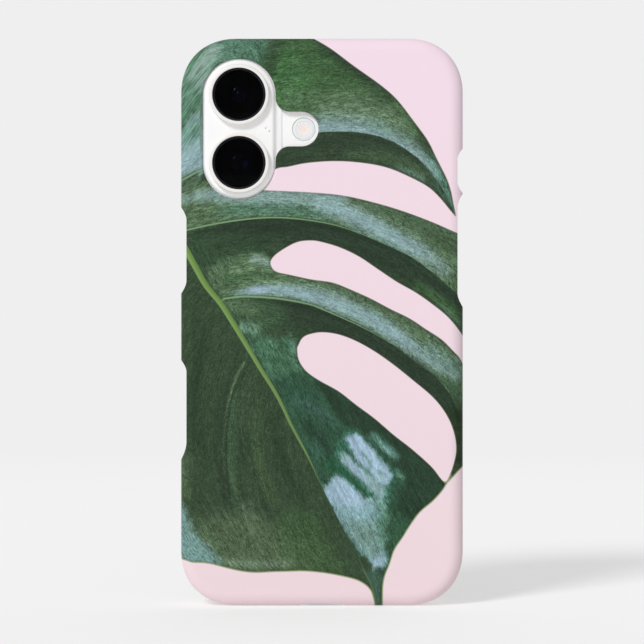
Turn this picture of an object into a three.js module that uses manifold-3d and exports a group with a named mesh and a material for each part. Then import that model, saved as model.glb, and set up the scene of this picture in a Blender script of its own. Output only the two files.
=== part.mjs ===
// A 6.1-inch smartphone in a slim printed snap-on case, standing on its lower edge.
// Units are millimetres. +Z is up and the back of the case faces -Y, so +X is to the right of a
// viewer who looks at the back. The origin is the centre of the footprint under the case.
import * as THREE from "three";
import { mergeVertices } from "three/addons/utils/BufferGeometryUtils.js";
import Module from "manifold-3d";

// ---------------------------------------------------------------- driving dimensions
const PHONE = { width: 71.6, height: 147.6, depth: 7.8, corner: 13.15 };
const CORNER_POWER = 2.2; // superellipse power of every outline corner
const CORNER_STEPS = 8;

const CASE = {
  wall: 1.75, // side walls
  back: 1.6, // back panel
  lip: 0.8, // how far the rim stands above the screen
  lipOverlap: 0.9, // how far the rim covers the edge of the phone
  rollWidth: 3.6, // roll-off of the back edge, across the back
  rollDepth: 2.6, // roll-off of the back edge, down the side
  clearance: 0.1,
};

const LENS = { x: -22.03, upper: 134.18, lower: 116.06 };
const ISLAND = { x: LENS.x, z: (LENS.upper + LENS.lower) / 2, height: 1.7, footHeight: 0.35, edge: 0.5 };
const CAMERA_CUT = { halfWidth: 9.69, halfHeight: 18.67, tabEnd: -0.92, tabHalf: 4.6, fillet: 3.7 };
const ISLAND_GAP = 0.4; // between the camera island and the edge of the case
const FOOT_OUT = 1.66; // how far the foot of the island runs under the case
const RING = {
  inner: 7.1, // clear opening, and the radius of the cover glass
  outer: 8.05,
  hole: 7.7, // hole in the island
  top: -3.3, // rear face, how far it stands behind the back glass
  foot: 0.8, // front end of the neck
  bevel: 0.3,
  ledge: 0.6, // width of the ledge that carries the cover glass
  ledgeDepth: 0.75,
};
const COVER = { recess: 0.1, thickness: 0.6, clearance: 0.05 };
const CAMERA = { half: 7.2, front: 5.15, plate: 0.95, barrel: 6.3, throat: 4.6, bottom: 2.6 };
const ELEMENT = { radius: 2.4, top: -1.75, seat: -0.95 };
const FLASH = { x: -4.85, z: 125.18, radius: 3.05, led: 1.4, gap: 0.1 };
const REAR_MIC = { x: -14.43, z: 124.94, radius: 0.45, gap: 0.05 };

const FRAME = { wall: 2.6, rim: 0.9, back: 0.25, front: 7.55, plateBack: 5.3, plateFront: 5.8 };
const GLASS = { inset: 1.0, thickness: 0.85, edge: 0.35 };

const BUTTON = {
  y: 3.7,
  width: 2.7,
  proud: 0.35,
  travel: 0.3,
  clearance: 0.1,
  flange: 0.4, // thickness of the flange inside the frame
  flangeReach: 0.6, // how far the flange runs past each end of the cap
};
const SWITCH = { plate: 0.4, halfWidth: 1.3, halfLength: 5, dome: 1, domeHeight: 0.3, gap: 0.05 };
const BUTTONS = [
  { name: "side_button", side: -1, z: 92.85, length: 15.6, proud: BUTTON.proud },
  { name: "camera_control", side: -1, z: 50.2, length: 16.6, proud: 0.05 },
  { name: "action_button", side: 1, z: 114.0, length: 6.2, proud: BUTTON.proud },
  { name: "volume_up_button", side: 1, z: 99.15, length: 10.2, proud: BUTTON.proud },
  { name: "volume_down_button", side: 1, z: 86.75, length: 10.2, proud: BUTTON.proud },
];

// Side cuts of the case: the outer and inner ends of each cut, measured down from the top edge.
const SIDE_CUT_DEPTH = 1.5;
const SIDE_CUTS = [
  { side: -1, outer: [45.2, 67.8], inner: [48.1, 64.6] },
  { side: -1, outer: [86.0, 112.3], inner: [88.6, 107.8] },
  { side: 1, outer: [29.5, 41.2], inner: [31.8, 38.5] },
  { side: 1, outer: [41.3, 71.6], inner: [44.9, 67.9] },
];
const PORT_Y = 3.9;
const PORT_RECESS = { outer: 6.5, inner: 4.75, depth: 0.6 };
const PORT_CUT = { width: 12.6, height: 6.2 };
const GRILLE = { first: 12.5, pitch: 2.3, count: 5, radius: 0.75 };

const MAGNET_CENTRE = PHONE.height / 2;

// ---------------------------------------------------------------- solids and booleans
const wasm = await Module();
wasm.setup();

function solid(geometry) {
  const bare = geometry.clone();
  bare.deleteAttribute("normal");
  bare.deleteAttribute("uv");
  const merged = mergeVertices(bare, 1e-4);
  return new wasm.Manifold(
    new wasm.Mesh({
      numProp: 3,
      vertProperties: new Float32Array(merged.attributes.position.array),
      triVerts: new Uint32Array(merged.index.array),
    }),
  );
}

function geometryOf(made) {
  const mesh = made.getMesh();
  return new THREE.BufferGeometry()
    .setAttribute("position", new THREE.BufferAttribute(mesh.vertProperties, 3))
    .setIndex(new THREE.BufferAttribute(mesh.triVerts, 1));
}

const cut = (body, ...tools) =>
  geometryOf(tools.reduce((left, tool) => left.subtract(solid(tool)), solid(body)));
const join = (body, ...others) =>
  geometryOf(others.reduce((left, other) => left.add(solid(other)), solid(body)));
const overlap = (a, b) => geometryOf(solid(a).intersect(solid(b)));

// ---------------------------------------------------------------- outlines
// One quarter of a superellipse corner, as [across, up] shares of its radius.
function cornerQuarter() {
  const points = [];
  for (let i = 0; i <= CORNER_STEPS; i++) {
    const turn = ((i / CORNER_STEPS) * Math.PI) / 2;
    points.push([
      Math.cos(turn) ** (2 / CORNER_POWER),
      Math.sin(turn) ** (2 / CORNER_POWER),
    ]);
  }
  return points;
}

// A rounded rectangle centred on x, standing from bottom to bottom + height.
function roundedOutline(width, height, corner, bottom = 0) {
  const quarter = cornerQuarter();
  const points = [];
  const quadrants = [
    [1, 1, false],
    [-1, 1, true],
    [-1, -1, false],
    [1, -1, true],
  ];
  for (const [sx, sz, backwards] of quadrants) {
    const run = backwards ? [...quarter].reverse() : quarter;
    for (const [across, up] of run) {
      const x = sx * (width / 2 - corner + corner * across);
      const z = bottom + height / 2 + sz * (height / 2 - corner + corner * up);
      points.push(new THREE.Vector2(x, z));
    }
  }
  return new THREE.Shape(points);
}

// The outline of the phone, moved inwards by inset.
const phoneOutline = (inset) =>
  roundedOutline(
    PHONE.width - 2 * inset,
    PHONE.height - 2 * inset,
    PHONE.corner - inset,
    inset,
  );

// A stadium with its long axis along z (or along x when wide is true).
function stadium(halfWidth, halfHeight, x = 0, z = 0) {
  const shape = new THREE.Shape();
  if (halfHeight >= halfWidth) {
    const straight = halfHeight - halfWidth;
    shape.absarc(x, z + straight, halfWidth, 0, Math.PI);
    shape.absarc(x, z - straight, halfWidth, Math.PI, 2 * Math.PI);
  } else {
    const straight = halfWidth - halfHeight;
    shape.absarc(x + straight, z, halfHeight, -Math.PI / 2, Math.PI / 2);
    shape.absarc(x - straight, z, halfHeight, Math.PI / 2, (3 * Math.PI) / 2);
  }
  return shape;
}

const polygon = (points) => new THREE.Shape(points.map(([x, z]) => new THREE.Vector2(x, z)));

function box2(x0, x1, z0, z1) {
  return polygon([
    [x0, z0],
    [x1, z0],
    [x1, z1],
    [x0, z1],
  ]);
}

// ---------------------------------------------------------------- shapes to solids
// A shape drawn in x and z, extruded from back to front (y = back .. front).
// With an edge, both long edges are rounded: edge[0] across and edge[1] in depth.
function slab(shape, back, front, edge = [0, 0], curveSteps = 6) {
  const [across, deep] = edge;
  const geometry = new THREE.ExtrudeGeometry(shape, {
    depth: front - back - 2 * deep,
    bevelEnabled: across > 0,
    bevelSize: across,
    bevelOffset: -across,
    bevelThickness: deep,
    bevelSegments: across > 1 ? 4 : 2,
    curveSegments: curveSteps,
    steps: 1,
  });
  return geometry.rotateX(Math.PI / 2).translate(0, front - deep, 0);
}

// A shape drawn in y and z, extruded along x.
function sideSlab(shape, x0, x1, curveSteps = 6) {
  const geometry = new THREE.ExtrudeGeometry(shape, {
    depth: x1 - x0,
    bevelEnabled: false,
    curveSegments: curveSteps,
  });
  // local x, y, z become y, z, x
  return geometry.rotateX(Math.PI / 2).rotateZ(Math.PI / 2).translate(x0, 0, 0);
}

// A shape drawn in x and y, extruded upwards from z0 to z1.
function upSlab(shape, z0, z1, curveSteps = 6) {
  const geometry = new THREE.ExtrudeGeometry(shape, {
    depth: z1 - z0,
    bevelEnabled: false,
    curveSegments: curveSteps,
  });
  return geometry.translate(0, 0, z0);
}

// A profile of [radius, y] pairs, from the back to the front, turned about the y axis.
function turned(profile, x, z, segments = 24) {
  const points = profile.map(([radius, y]) => new THREE.Vector2(radius, y));
  return new THREE.LatheGeometry(points, segments).translate(x, 0, z);
}

const disc = (radius, back, front, x, z, segments = 24) =>
  turned([[0, back], [radius, back], [radius, front], [0, front]], x, z, segments);

const block = (x0, x1, y0, y1, z0, z1) =>
  new THREE.BoxGeometry(x1 - x0, y1 - y0, z1 - z0).translate(
    (x0 + x1) / 2,
    (y0 + y1) / 2,
    (z0 + z1) / 2,
  );

// ---------------------------------------------------------------- materials
const finish = (color, roughness, metalness = 0, extra = {}) =>
  new THREE.MeshStandardMaterial({ color, roughness, metalness, ...extra });
const FINISH = {
  print: finish(0xefdbe2, 0.42),
  frame: finish(0xe9e8e6, 0.35, 0.7),
  backGlass: finish(0xf3f3f1, 0.25),
  ring: finish(0xe6e1de, 0.3, 0.6),
  clear: finish(0x0b0b10, 0.05, 0, { transparent: true, opacity: 0.4 }),
  black: finish(0x08080a, 0.5),
  lens: finish(0x10142a, 0.05),
  diffuser: finish(0xe4eef2, 0.2),
  phosphor: finish(0xf1d79a, 0.6),
  steel: finish(0xb8bbbe, 0.35, 1),
  copper: finish(0xb87333, 0.4, 1),
  board: finish(0x1c4a34, 0.5),
  battery: finish(0x1b1b1d, 0.6),
  plastic: finish(0x2a2a2c, 0.6),
  break: finish(0xdedcd8, 0.5),
  screen: finish(0x050507, 0.15),
};

function piece(name, geometry, material) {
  const mesh = new THREE.Mesh(geometry, material);
  mesh.name = name;
  return mesh;
}

// ---------------------------------------------------------------- the case
// Modelled in the phone's frame: x is central, y = 0 is the phone's back face, z = 0 its bottom.
function cameraWindow() {
  const { halfWidth, halfHeight, tabEnd, tabHalf, fillet } = CAMERA_CUT;
  const { x, z } = ISLAND;
  const straight = halfHeight - halfWidth;
  const filletX = x + halfWidth + fillet;
  const filletZ = tabHalf + fillet;
  const shape = new THREE.Shape();
  shape.absarc(x, z + straight, halfWidth, 0, Math.PI, false);
  shape.absarc(x, z - straight, halfWidth, Math.PI, 2 * Math.PI, false);
  shape.absarc(filletX, z - filletZ, fillet, Math.PI, Math.PI / 2, true);
  shape.absarc(tabEnd - tabHalf, z, tabHalf, -Math.PI / 2, Math.PI / 2, false);
  shape.absarc(filletX, z + filletZ, fillet, -Math.PI / 2, -Math.PI, true);
  return shape;
}

function sideCutter({ side, outer, inner }, floor, back, front) {
  const top = PHONE.height + CASE.wall;
  const edge = PHONE.width / 2 + CASE.wall;
  const beyond = 1.5; // how far the cutter runs past the wall, along the slope of its ends
  const slopeHigh = (inner[0] - outer[0]) / SIDE_CUT_DEPTH;
  const slopeLow = (outer[1] - inner[1]) / SIDE_CUT_DEPTH;
  const deeper = edge - SIDE_CUT_DEPTH - floor; // how far this cutter goes below the cut's floor
  const points = [
    [edge + beyond, top - outer[0] + slopeHigh * beyond],
    [edge - SIDE_CUT_DEPTH, top - inner[0]],
    [floor, top - inner[0] - Math.min(deeper, 0.2)],
    [floor, top - inner[1] + Math.min(deeper, 0.2)],
    [edge - SIDE_CUT_DEPTH, top - inner[1]],
    [edge + beyond, top - outer[1] - slopeLow * beyond],
  ];
  const distinct = deeper > 0 ? points : points.filter((_, i) => i !== 2 && i !== 3);
  return slab(polygon(distinct.map(([x, z]) => [side * x, z])), back, front);
}

function caseShell() {
  const front = PHONE.depth + CASE.lip;
  const width = PHONE.width + 2 * CASE.wall;
  const height = PHONE.height + 2 * CASE.wall;
  const outline = roundedOutline(width, height, PHONE.corner + CASE.wall, -CASE.wall);
  const rolledBack = slab(outline, -CASE.back, front + 10, [CASE.rollWidth, CASE.rollDepth]);
  const roundedRim = slab(outline, -CASE.back - 5, front, [0.6, 0.6]);
  const body = overlap(rolledBack, roundedRim);
  const far = front + 1;
  const hollow = slab(phoneOutline(-CASE.clearance), 0, PHONE.depth + CASE.clearance);
  const mouth = slab(phoneOutline(CASE.lipOverlap), 1, far);
  const footRoom = slab(
    stadium(
      CAMERA_CUT.halfWidth + FOOT_OUT + 0.3,
      CAMERA_CUT.halfHeight + FOOT_OUT + 0.3,
      ISLAND.x,
      ISLAND.z,
    ),
    -ISLAND.footHeight - 0.1,
    1,
  );
  const camera = slab(cameraWindow(), -far, 1, [0, 0], 9);
  const edge = PHONE.width / 2 + CASE.wall;
  const notches = SIDE_CUTS.flatMap((spec) => [
    sideCutter(spec, edge - SIDE_CUT_DEPTH, -far, far),
    sideCutter(spec, PHONE.width / 2 - 1.2, -CASE.clearance, far),
  ]);
  const bottom = -CASE.wall;
  const { outer, inner, depth } = PORT_RECESS;
  const recess = slab(
    polygon([
      [-outer - 1, bottom - 0.34],
      [outer + 1, bottom - 0.34],
      [inner, bottom + depth],
      [-inner, bottom + depth],
    ]),
    -far,
    far,
  );
  const port = upSlab(stadium(PORT_CUT.width / 2, PORT_CUT.height / 2, 0, PORT_Y), -5, 0.5);
  const grilleSpan = GRILLE.pitch * (GRILLE.count - 1);
  const grilles = [-1, 1].map((side) =>
    upSlab(
      stadium(grilleSpan / 2 + 1.7, 1.5, side * (GRILLE.first + grilleSpan / 2), PORT_Y),
      -5,
      0.5,
    ),
  );
  return cut(body, hollow, mouth, footRoom, camera, ...notches, recess, port, ...grilles);
}

// ---------------------------------------------------------------- the phone's outer parts
// A stadium in y and z for a button, as drawn by sideSlab.
const buttonOutline = (length, width, z) => stadium(width / 2, length / 2, BUTTON.y, z);

const BREAKS = [
  { name: "antenna_break_left_low", x: -1, z: 14 },
  { name: "antenna_break_left_high", x: -1, z: 133.6 },
  { name: "antenna_break_right_low", x: 1, z: 14 },
  { name: "antenna_break_right_high", x: 1, z: 133.6 },
];
const BREAK = { width: 1.2, depth: 0.9, gap: 0.05, inset: 0.3, skin: 0.02 };
const TOP_BREAK_X = 18;

function breakBlock({ x, z }, gap) {
  const half = BREAK.width / 2 + gap;
  const outer = PHONE.width / 2 + (gap ? 1 : -BREAK.skin);
  const inner = PHONE.width / 2 - BREAK.depth - gap;
  const [x0, x1] = x < 0 ? [-outer, -inner] : [inner, outer];
  const [back, front] = gap ? [-1, 9] : [FRAME.back + BREAK.inset, FRAME.front - BREAK.inset];
  return block(x0, x1, back, front, z - half, z + half);
}

function topBreakBlock(gap) {
  const half = BREAK.width / 2 + gap;
  const top = PHONE.height + (gap ? 1 : -BREAK.skin);
  const [back, front] = gap ? [-1, 9] : [FRAME.back + BREAK.inset, FRAME.front - BREAK.inset];
  const low = PHONE.height - BREAK.depth - gap;
  return block(TOP_BREAK_X - half, TOP_BREAK_X + half, back, front, low, top);
}

function grilleHoles() {
  const holes = [];
  for (const side of [-1, 1]) {
    for (let i = 0; i < GRILLE.count; i++) {
      const x = side * (GRILLE.first + i * GRILLE.pitch);
      const hole = new THREE.Shape();
      hole.absarc(x, PORT_Y, GRILLE.radius, 0, 2 * Math.PI);
      holes.push(upSlab(hole, -1, FRAME.wall + 0.5, 5));
    }
  }
  return holes;
}

const USB = { halfWidth: 4.5, halfHeight: 1.65, wall: 0.3, start: 0.5, depth: 7.4 };
const TONGUE = { halfWidth: 3.35, halfHeight: 0.35, start: 1.3, end: 7.3 };
const SCREW = { x: 7.6, head: 0.8, hole: 0.95, shank: 0.5, socket: 0.4, start: 0.15, end: 3.8 };

function midFrame() {
  const outer = slab(phoneOutline(0), FRAME.back, FRAME.front, [0.5, 0.5]);
  const cavity = slab(phoneOutline(FRAME.wall), -1, FRAME.plateBack);
  const screenWell = slab(phoneOutline(FRAME.wall), FRAME.plateFront, 9);
  const backSeat = slab(phoneOutline(FRAME.rim), -1, GLASS.thickness + 0.05);
  const frontSeat = slab(phoneOutline(FRAME.rim), PHONE.depth - GLASS.thickness - 0.05, 9);
  const slots = BUTTONS.map(({ side, z, length }) => {
    const grow = 2 * BUTTON.clearance;
    const [x0, x1] = side < 0 ? [-40, -32] : [32, 40];
    return sideSlab(buttonOutline(length + grow, BUTTON.width + grow, z), x0, x1);
  });
  const breaks = [...BREAKS.map((b) => breakBlock(b, BREAK.gap)), topBreakBlock(BREAK.gap)];
  const portEnd = USB.start + USB.depth + 0.2;
  const port = upSlab(stadium(USB.halfWidth + 0.1, USB.halfHeight + 0.1, 0, PORT_Y), -1, portEnd);
  const screws = [-1, 1].flatMap((side) => {
    const head = new THREE.Shape();
    head.absarc(side * SCREW.x, PORT_Y, SCREW.hole, 0, 2 * Math.PI);
    const shank = new THREE.Shape();
    shank.absarc(side * SCREW.x, PORT_Y, SCREW.shank + 0.1, 0, 2 * Math.PI);
    return [upSlab(head, -1, 1.3, 5), upSlab(shank, 1, 3, 5)];
  });
  const cameraEye = disc(FRONT_CAMERA.radius + 0.2, 5, 6, FRONT_CAMERA.x, FRONT_CAMERA.z, 16);
  return cut(
    outer,
    cavity,
    screenWell,
    backSeat,
    frontSeat,
    ...slots,
    ...breaks,
    port,
    ...screws,
    ...grilleHoles(),
    cameraEye,
  );
}

function backGlass() {
  const sheet = slab(phoneOutline(GLASS.inset), 0, GLASS.thickness, [GLASS.edge, GLASS.edge]);
  const { halfWidth, halfHeight } = CAMERA_CUT;
  const foot = slab(
    stadium(halfWidth + FOOT_OUT, halfHeight + FOOT_OUT, ISLAND.x, ISLAND.z),
    -ISLAND.footHeight,
    GLASS.thickness / 2,
  );
  const island = slab(
    stadium(halfWidth - ISLAND_GAP, halfHeight - ISLAND_GAP, ISLAND.x, ISLAND.z),
    -ISLAND.height,
    GLASS.thickness / 2 + ISLAND.edge,
    [ISLAND.edge, ISLAND.edge],
  );
  const insideCut = slab(stadium(12, 22, ISLAND.x, ISLAND.z), GLASS.thickness, 3);
  const holes = [
    disc(RING.hole, -9, 3, LENS.x, LENS.upper),
    disc(RING.hole, -9, 3, LENS.x, LENS.lower),
    disc(FLASH.radius + FLASH.gap, -9, 3, FLASH.x, FLASH.z),
    disc(REAR_MIC.radius + REAR_MIC.gap, -9, 3, REAR_MIC.x, REAR_MIC.z, 10),
  ];
  return cut(join(sheet, foot, island), insideCut, ...holes);
}

// A flanged ring that stands in its hole and carries the cover glass on an inner ledge.
function lensRing(z) {
  const neck = RING.hole - 0.1;
  const flange = -ISLAND.height - 0.02;
  const throat = RING.inner - RING.ledge;
  const seat = RING.top + RING.ledgeDepth;
  return turned(
    [
      [RING.inner, RING.top],
      [RING.outer - RING.bevel, RING.top],
      [RING.outer, RING.top + RING.bevel],
      [RING.outer, flange],
      [neck, flange],
      [neck, RING.foot],
      [throat, RING.foot],
      [throat, seat],
      [RING.inner, seat],
      [RING.inner, RING.top],
    ],
    LENS.x,
    z,
    28,
  );
}

function lensCover(z) {
  const back = RING.top + COVER.recess;
  return disc(RING.inner - COVER.clearance, back, back + COVER.thickness, LENS.x, z, 28);
}

// A square camera housing with a round barrel that is open at its back end.
function cameraModule(z) {
  const { half, front, plate, barrel, throat, bottom } = CAMERA;
  const housing = block(LENS.x - half, LENS.x + half, plate, front, z - half, z + half);
  const seat = ELEMENT.seat + 0.05;
  const rim = -2.3;
  const root = plate + 1; // inside the housing
  const tube = turned(
    [
      [0, seat],
      [bottom, seat],
      [throat, rim],
      [barrel, rim],
      [barrel, root],
      [0, root],
    ],
    LENS.x,
    z,
  );
  return join(housing, tube);
}

// A plano-convex front element that stands just proud of the barrel's throat.
function lensElement(z) {
  const { radius, top, seat } = ELEMENT;
  const dome = [[0, top], [radius / 2, top + 0.15], [radius - 0.2, top + 0.55], [radius, seat]];
  return turned([...dome, [0, seat]], LENS.x, z);
}

const FRONT_CAMERA = { x: 3.4, z: 139.3, radius: 1.5 };
const EARPIECE = { halfWidth: 7, low: 145.9, high: 146.35 };

function frontGlass() {
  const back = PHONE.depth - GLASS.thickness;
  const sheet = slab(phoneOutline(GLASS.inset), back, PHONE.depth, [GLASS.edge, GLASS.edge]);
  const { halfWidth, low, high } = EARPIECE;
  return cut(sheet, slab(box2(-halfWidth, halfWidth, low, high), back - 1, PHONE.depth + 1));
}

function earpieceMesh() {
  const { halfWidth, low, high } = EARPIECE;
  const gap = 0.05;
  const back = PHONE.depth - GLASS.thickness;
  return block(-halfWidth + gap, halfWidth - gap, back + 0.1, back + 0.5, low + gap, high - gap);
}

const BEZEL = { outer: 2.7, inner: 3.6, back: 6.72, front: 6.88 };

function bezelMask() {
  const outer = slab(phoneOutline(BEZEL.outer), BEZEL.back, BEZEL.front);
  return cut(outer, slab(phoneOutline(BEZEL.inner), BEZEL.back - 1, BEZEL.front + 1));
}

function displayPanel() {
  const sheet = slab(phoneOutline(BEZEL.inner + 0.1), FRAME.plateFront + 0.1, BEZEL.front);
  const { x, z, radius } = FRONT_CAMERA;
  return cut(sheet, disc(radius + 0.2, 5, 8, x, z, 16));
}

function frontCamera() {
  const { x, z, radius } = FRONT_CAMERA;
  const profile = [[0, 1.6], [radius, 1.6], [radius, BEZEL.front], [0.5, BEZEL.front]];
  return turned([...profile, [0.5, BEZEL.front - 0.4], [0, BEZEL.front - 0.4]], x, z, 16);
}

// ---------------------------------------------------------------- buttons and their switches
// A cap that runs through the frame, with a flange inside that keeps it in.
function buttonCap({ side, length, proud }) {
  const face = PHONE.width / 2 + proud;
  const inside = PHONE.width / 2 - FRAME.wall - BUTTON.clearance;
  const order = (a, b) => (side < 0 ? [-b, -a] : [a, b]);
  const capShape = stadium(BUTTON.width / 2, length / 2, BUTTON.y, 0);
  const cap = sideSlab(capShape, ...order(inside - BUTTON.flange / 2, face));
  const [x0, x1] = order(inside - BUTTON.flange, inside);
  const flange = block(
    x0,
    x1,
    BUTTON.y - BUTTON.width / 2,
    BUTTON.y + BUTTON.width / 2,
    -length / 2 - BUTTON.flangeReach,
    length / 2 + BUTTON.flangeReach,
  );
  return join(cap, flange);
}

// A dome switch on its bracket, one travel and a little more behind the flange.
function domeSwitch({ side, length }) {
  const flangeBack = PHONE.width / 2 - FRAME.wall - BUTTON.clearance - BUTTON.flange;
  const domeTop = flangeBack - BUTTON.travel - SWITCH.gap;
  const plateFace = domeTop - SWITCH.domeHeight;
  const order = (a, b) => (side < 0 ? [-b, -a] : [a, b]);
  const [x0, x1] = order(plateFace - SWITCH.plate, plateFace);
  const reach = Math.min(length / 2, SWITCH.halfLength);
  const { halfWidth } = SWITCH;
  const plate = block(x0, x1, BUTTON.y - halfWidth, BUTTON.y + halfWidth, -reach, reach);
  const dome = new THREE.Shape();
  dome.absarc(BUTTON.y, 0, SWITCH.dome, 0, 2 * Math.PI);
  return join(plate, sideSlab(dome, ...order(plateFace - 0.1, domeTop), 4));
}

function buttonsAndSwitches() {
  const group = new THREE.Group();
  for (const spec of BUTTONS) {
    const cap = piece(spec.name, buttonCap(spec), FINISH.frame);
    const dome = piece(spec.name.replace("_button", "") + "_switch", domeSwitch(spec), FINISH.steel);
    cap.position.z = spec.z;
    dome.position.z = spec.z;
    group.add(cap, dome);
  }
  return group;
}

// ---------------------------------------------------------------- bottom edge
function usbReceptacle() {
  const { halfWidth, halfHeight, wall, start, depth } = USB;
  const shell = upSlab(stadium(halfWidth, halfHeight, 0, PORT_Y), start, start + depth);
  const mouth = stadium(halfWidth - wall, halfHeight - wall, 0, PORT_Y);
  return cut(shell, upSlab(mouth, start - 1, start + depth - 0.5));
}

function usbTongue() {
  const { halfWidth, halfHeight, start, end } = TONGUE;
  return block(-halfWidth, halfWidth, PORT_Y - halfHeight, PORT_Y + halfHeight, start, end);
}

function bottomScrew(side) {
  const x = side * SCREW.x;
  const circle = (radius) => {
    const shape = new THREE.Shape();
    shape.absarc(x, PORT_Y, radius, 0, 2 * Math.PI);
    return shape;
  };
  const socket = polygon(
    Array.from({ length: 6 }, (_, i) => {
      const turn = (i * Math.PI) / 3;
      return [x + SCREW.socket * Math.cos(turn), PORT_Y + SCREW.socket * Math.sin(turn)];
    }),
  );
  const head = upSlab(circle(SCREW.head), SCREW.start, 1.2, 6);
  const shank = upSlab(circle(SCREW.shank), 1, SCREW.end, 5);
  return cut(join(head, shank), upSlab(socket, -1, 0.7));
}

// ---------------------------------------------------------------- parts inside
const COIL = { outer: 22.5, inner: 12, front: 1.35 };
const MAGNETS = { outer: 28, inner: 24, front: 1.45 };
const UNDER_GLASS = 0.95;

const flatRing = ({ outer, inner, front }) =>
  turned(
    [[inner, UNDER_GLASS], [outer, UNDER_GLASS], [outer, front], [inner, front], [inner, UNDER_GLASS]],
    0,
    MAGNET_CENTRE,
    40,
  );

const INNER_BOXES = [
  ["battery", [-11, 30.5, 1.55, 5.15, 26, 102], FINISH.battery],
  ["logic_board", [-30.5, -12.5, 2.6, 3.4, 26, 106], FINISH.board],
  ["shield_can_processor", [-29.5, -13.5, 1.55, 2.5, 70, 100], FINISH.steel],
  ["shield_can_modem", [-29.5, -13.5, 1.55, 2.5, 34, 64], FINISH.steel],
  ["shield_can_memory", [-29.5, -13.5, 3.5, 5.15, 40, 90], FINISH.steel],
  ["loudspeaker", [9.5, 28.5, 1.1, 5.15, 5, 22], FINISH.plastic],
  ["haptic_motor", [-30, -10, 1.3, 5.1, 9, 19], FINISH.steel],
  ["bottom_microphone", [-14, -11, 2.6, 5.1, 3, 6], FINISH.steel],
  ["earpiece_speaker", [-12, 0.5, 1.2, 5.15, 137, 144.6], FINISH.plastic],
  ["rear_microphone", [-14.3, -12.3, UNDER_GLASS, 2, 123.9, 125.9], FINISH.steel],
];

// ---------------------------------------------------------------- assembly
const phone = new THREE.Group();
phone.add(
  piece("mid_frame", midFrame(), FINISH.frame),
  piece("back_glass", backGlass(), FINISH.backGlass),
  piece("front_glass", frontGlass(), FINISH.clear),
  piece("bezel_mask", bezelMask(), FINISH.black),
  piece("display_panel", displayPanel(), FINISH.screen),
  piece("earpiece_mesh", earpieceMesh(), FINISH.plastic),
  piece("front_camera", frontCamera(), FINISH.black),
);
for (const level of ["upper", "lower"]) {
  phone.add(
    piece("lens_ring_" + level, lensRing(LENS[level]), FINISH.ring),
    piece("lens_cover_" + level, lensCover(LENS[level]), FINISH.clear),
    piece("camera_module_" + level, cameraModule(LENS[level]), FINISH.black),
    piece("lens_element_" + level, lensElement(LENS[level]), FINISH.lens),
  );
}
phone.add(
  piece("flash_window", disc(FLASH.radius, 0.02, 0.8, FLASH.x, FLASH.z), FINISH.diffuser),
  piece("flash_led", disc(FLASH.led, UNDER_GLASS, 1.5, FLASH.x, FLASH.z, 16), FINISH.phosphor),
  piece("usb_receptacle", usbReceptacle(), FINISH.steel),
  piece("usb_tongue", usbTongue(), FINISH.plastic),
  piece("bottom_screw_left", bottomScrew(-1), FINISH.steel),
  piece("bottom_screw_right", bottomScrew(1), FINISH.steel),
  piece("charging_coil", flatRing(COIL), FINISH.copper),
  piece("magnet_ring", flatRing(MAGNETS), FINISH.steel),
  piece("antenna_break_top", topBreakBlock(0), FINISH.break),
  buttonsAndSwitches(),
);
for (const spec of BREAKS) phone.add(piece(spec.name, breakBlock(spec, 0), FINISH.break));
for (const [name, size, material] of INNER_BOXES) phone.add(piece(name, block(...size), material));

// The depth runs from the lens rings to the rim of the case, and y = 0 is halfway.
const depthMiddle = (RING.top + PHONE.depth + CASE.lip) / 2;
const object = new THREE.Group();
object.add(phone, piece("case_shell", caseShell(), FINISH.print));
object.position.set(0, -depthMiddle, CASE.wall);

export default object;
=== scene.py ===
# %% [markdown]
# # A smartphone in a printed slim case
# The object is a white phone that stands on its lower edge in a thin hard shell. The shell is
# moulded in clear-white polycarbonate and printed all over: a deep green monstera leaf on a pale
# pink ground. This lesson builds the parts that the eye sees, in the order a maker would: the
# studio, the shell, the print, the camera, the buttons, the screen and the port.
#
# The frame comes first. It is the working model of the phone, and every piece here is fitted to it.

# %% Load the frame
import math

import bpy
import bmesh
import numpy as np
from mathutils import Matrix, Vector
from mathutils.geometry import delaunay_2d_cdt


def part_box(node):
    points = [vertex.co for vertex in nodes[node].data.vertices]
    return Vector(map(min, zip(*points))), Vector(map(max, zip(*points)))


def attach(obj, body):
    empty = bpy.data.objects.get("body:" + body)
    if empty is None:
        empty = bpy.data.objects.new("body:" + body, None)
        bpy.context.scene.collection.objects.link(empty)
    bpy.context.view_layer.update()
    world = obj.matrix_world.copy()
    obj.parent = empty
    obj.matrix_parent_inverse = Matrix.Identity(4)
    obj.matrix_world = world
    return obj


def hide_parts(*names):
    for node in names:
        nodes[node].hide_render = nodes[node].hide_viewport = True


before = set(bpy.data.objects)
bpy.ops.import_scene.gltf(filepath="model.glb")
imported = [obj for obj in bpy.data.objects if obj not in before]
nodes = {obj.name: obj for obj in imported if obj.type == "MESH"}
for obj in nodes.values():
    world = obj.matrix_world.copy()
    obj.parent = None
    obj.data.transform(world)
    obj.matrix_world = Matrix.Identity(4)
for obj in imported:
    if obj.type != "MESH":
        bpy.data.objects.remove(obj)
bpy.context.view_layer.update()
PHONE = "phone_in_case"
MM = 0.001
print("frame pieces:", len(nodes))

# %% [markdown]
# ## The measures
# The frame gives every main size, so nothing is typed twice. The shell's box gives its width and
# height, and the phone's own pieces give the depths of the back, the screen and the lenses.

# %% Read the main sizes from the frame, in millimetres
def box_mm(node):
    low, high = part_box(node)
    return np.array(low) / MM, np.array(high) / MM


def middle_mm(node):
    return sum(box_mm(node)) / 2


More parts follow.
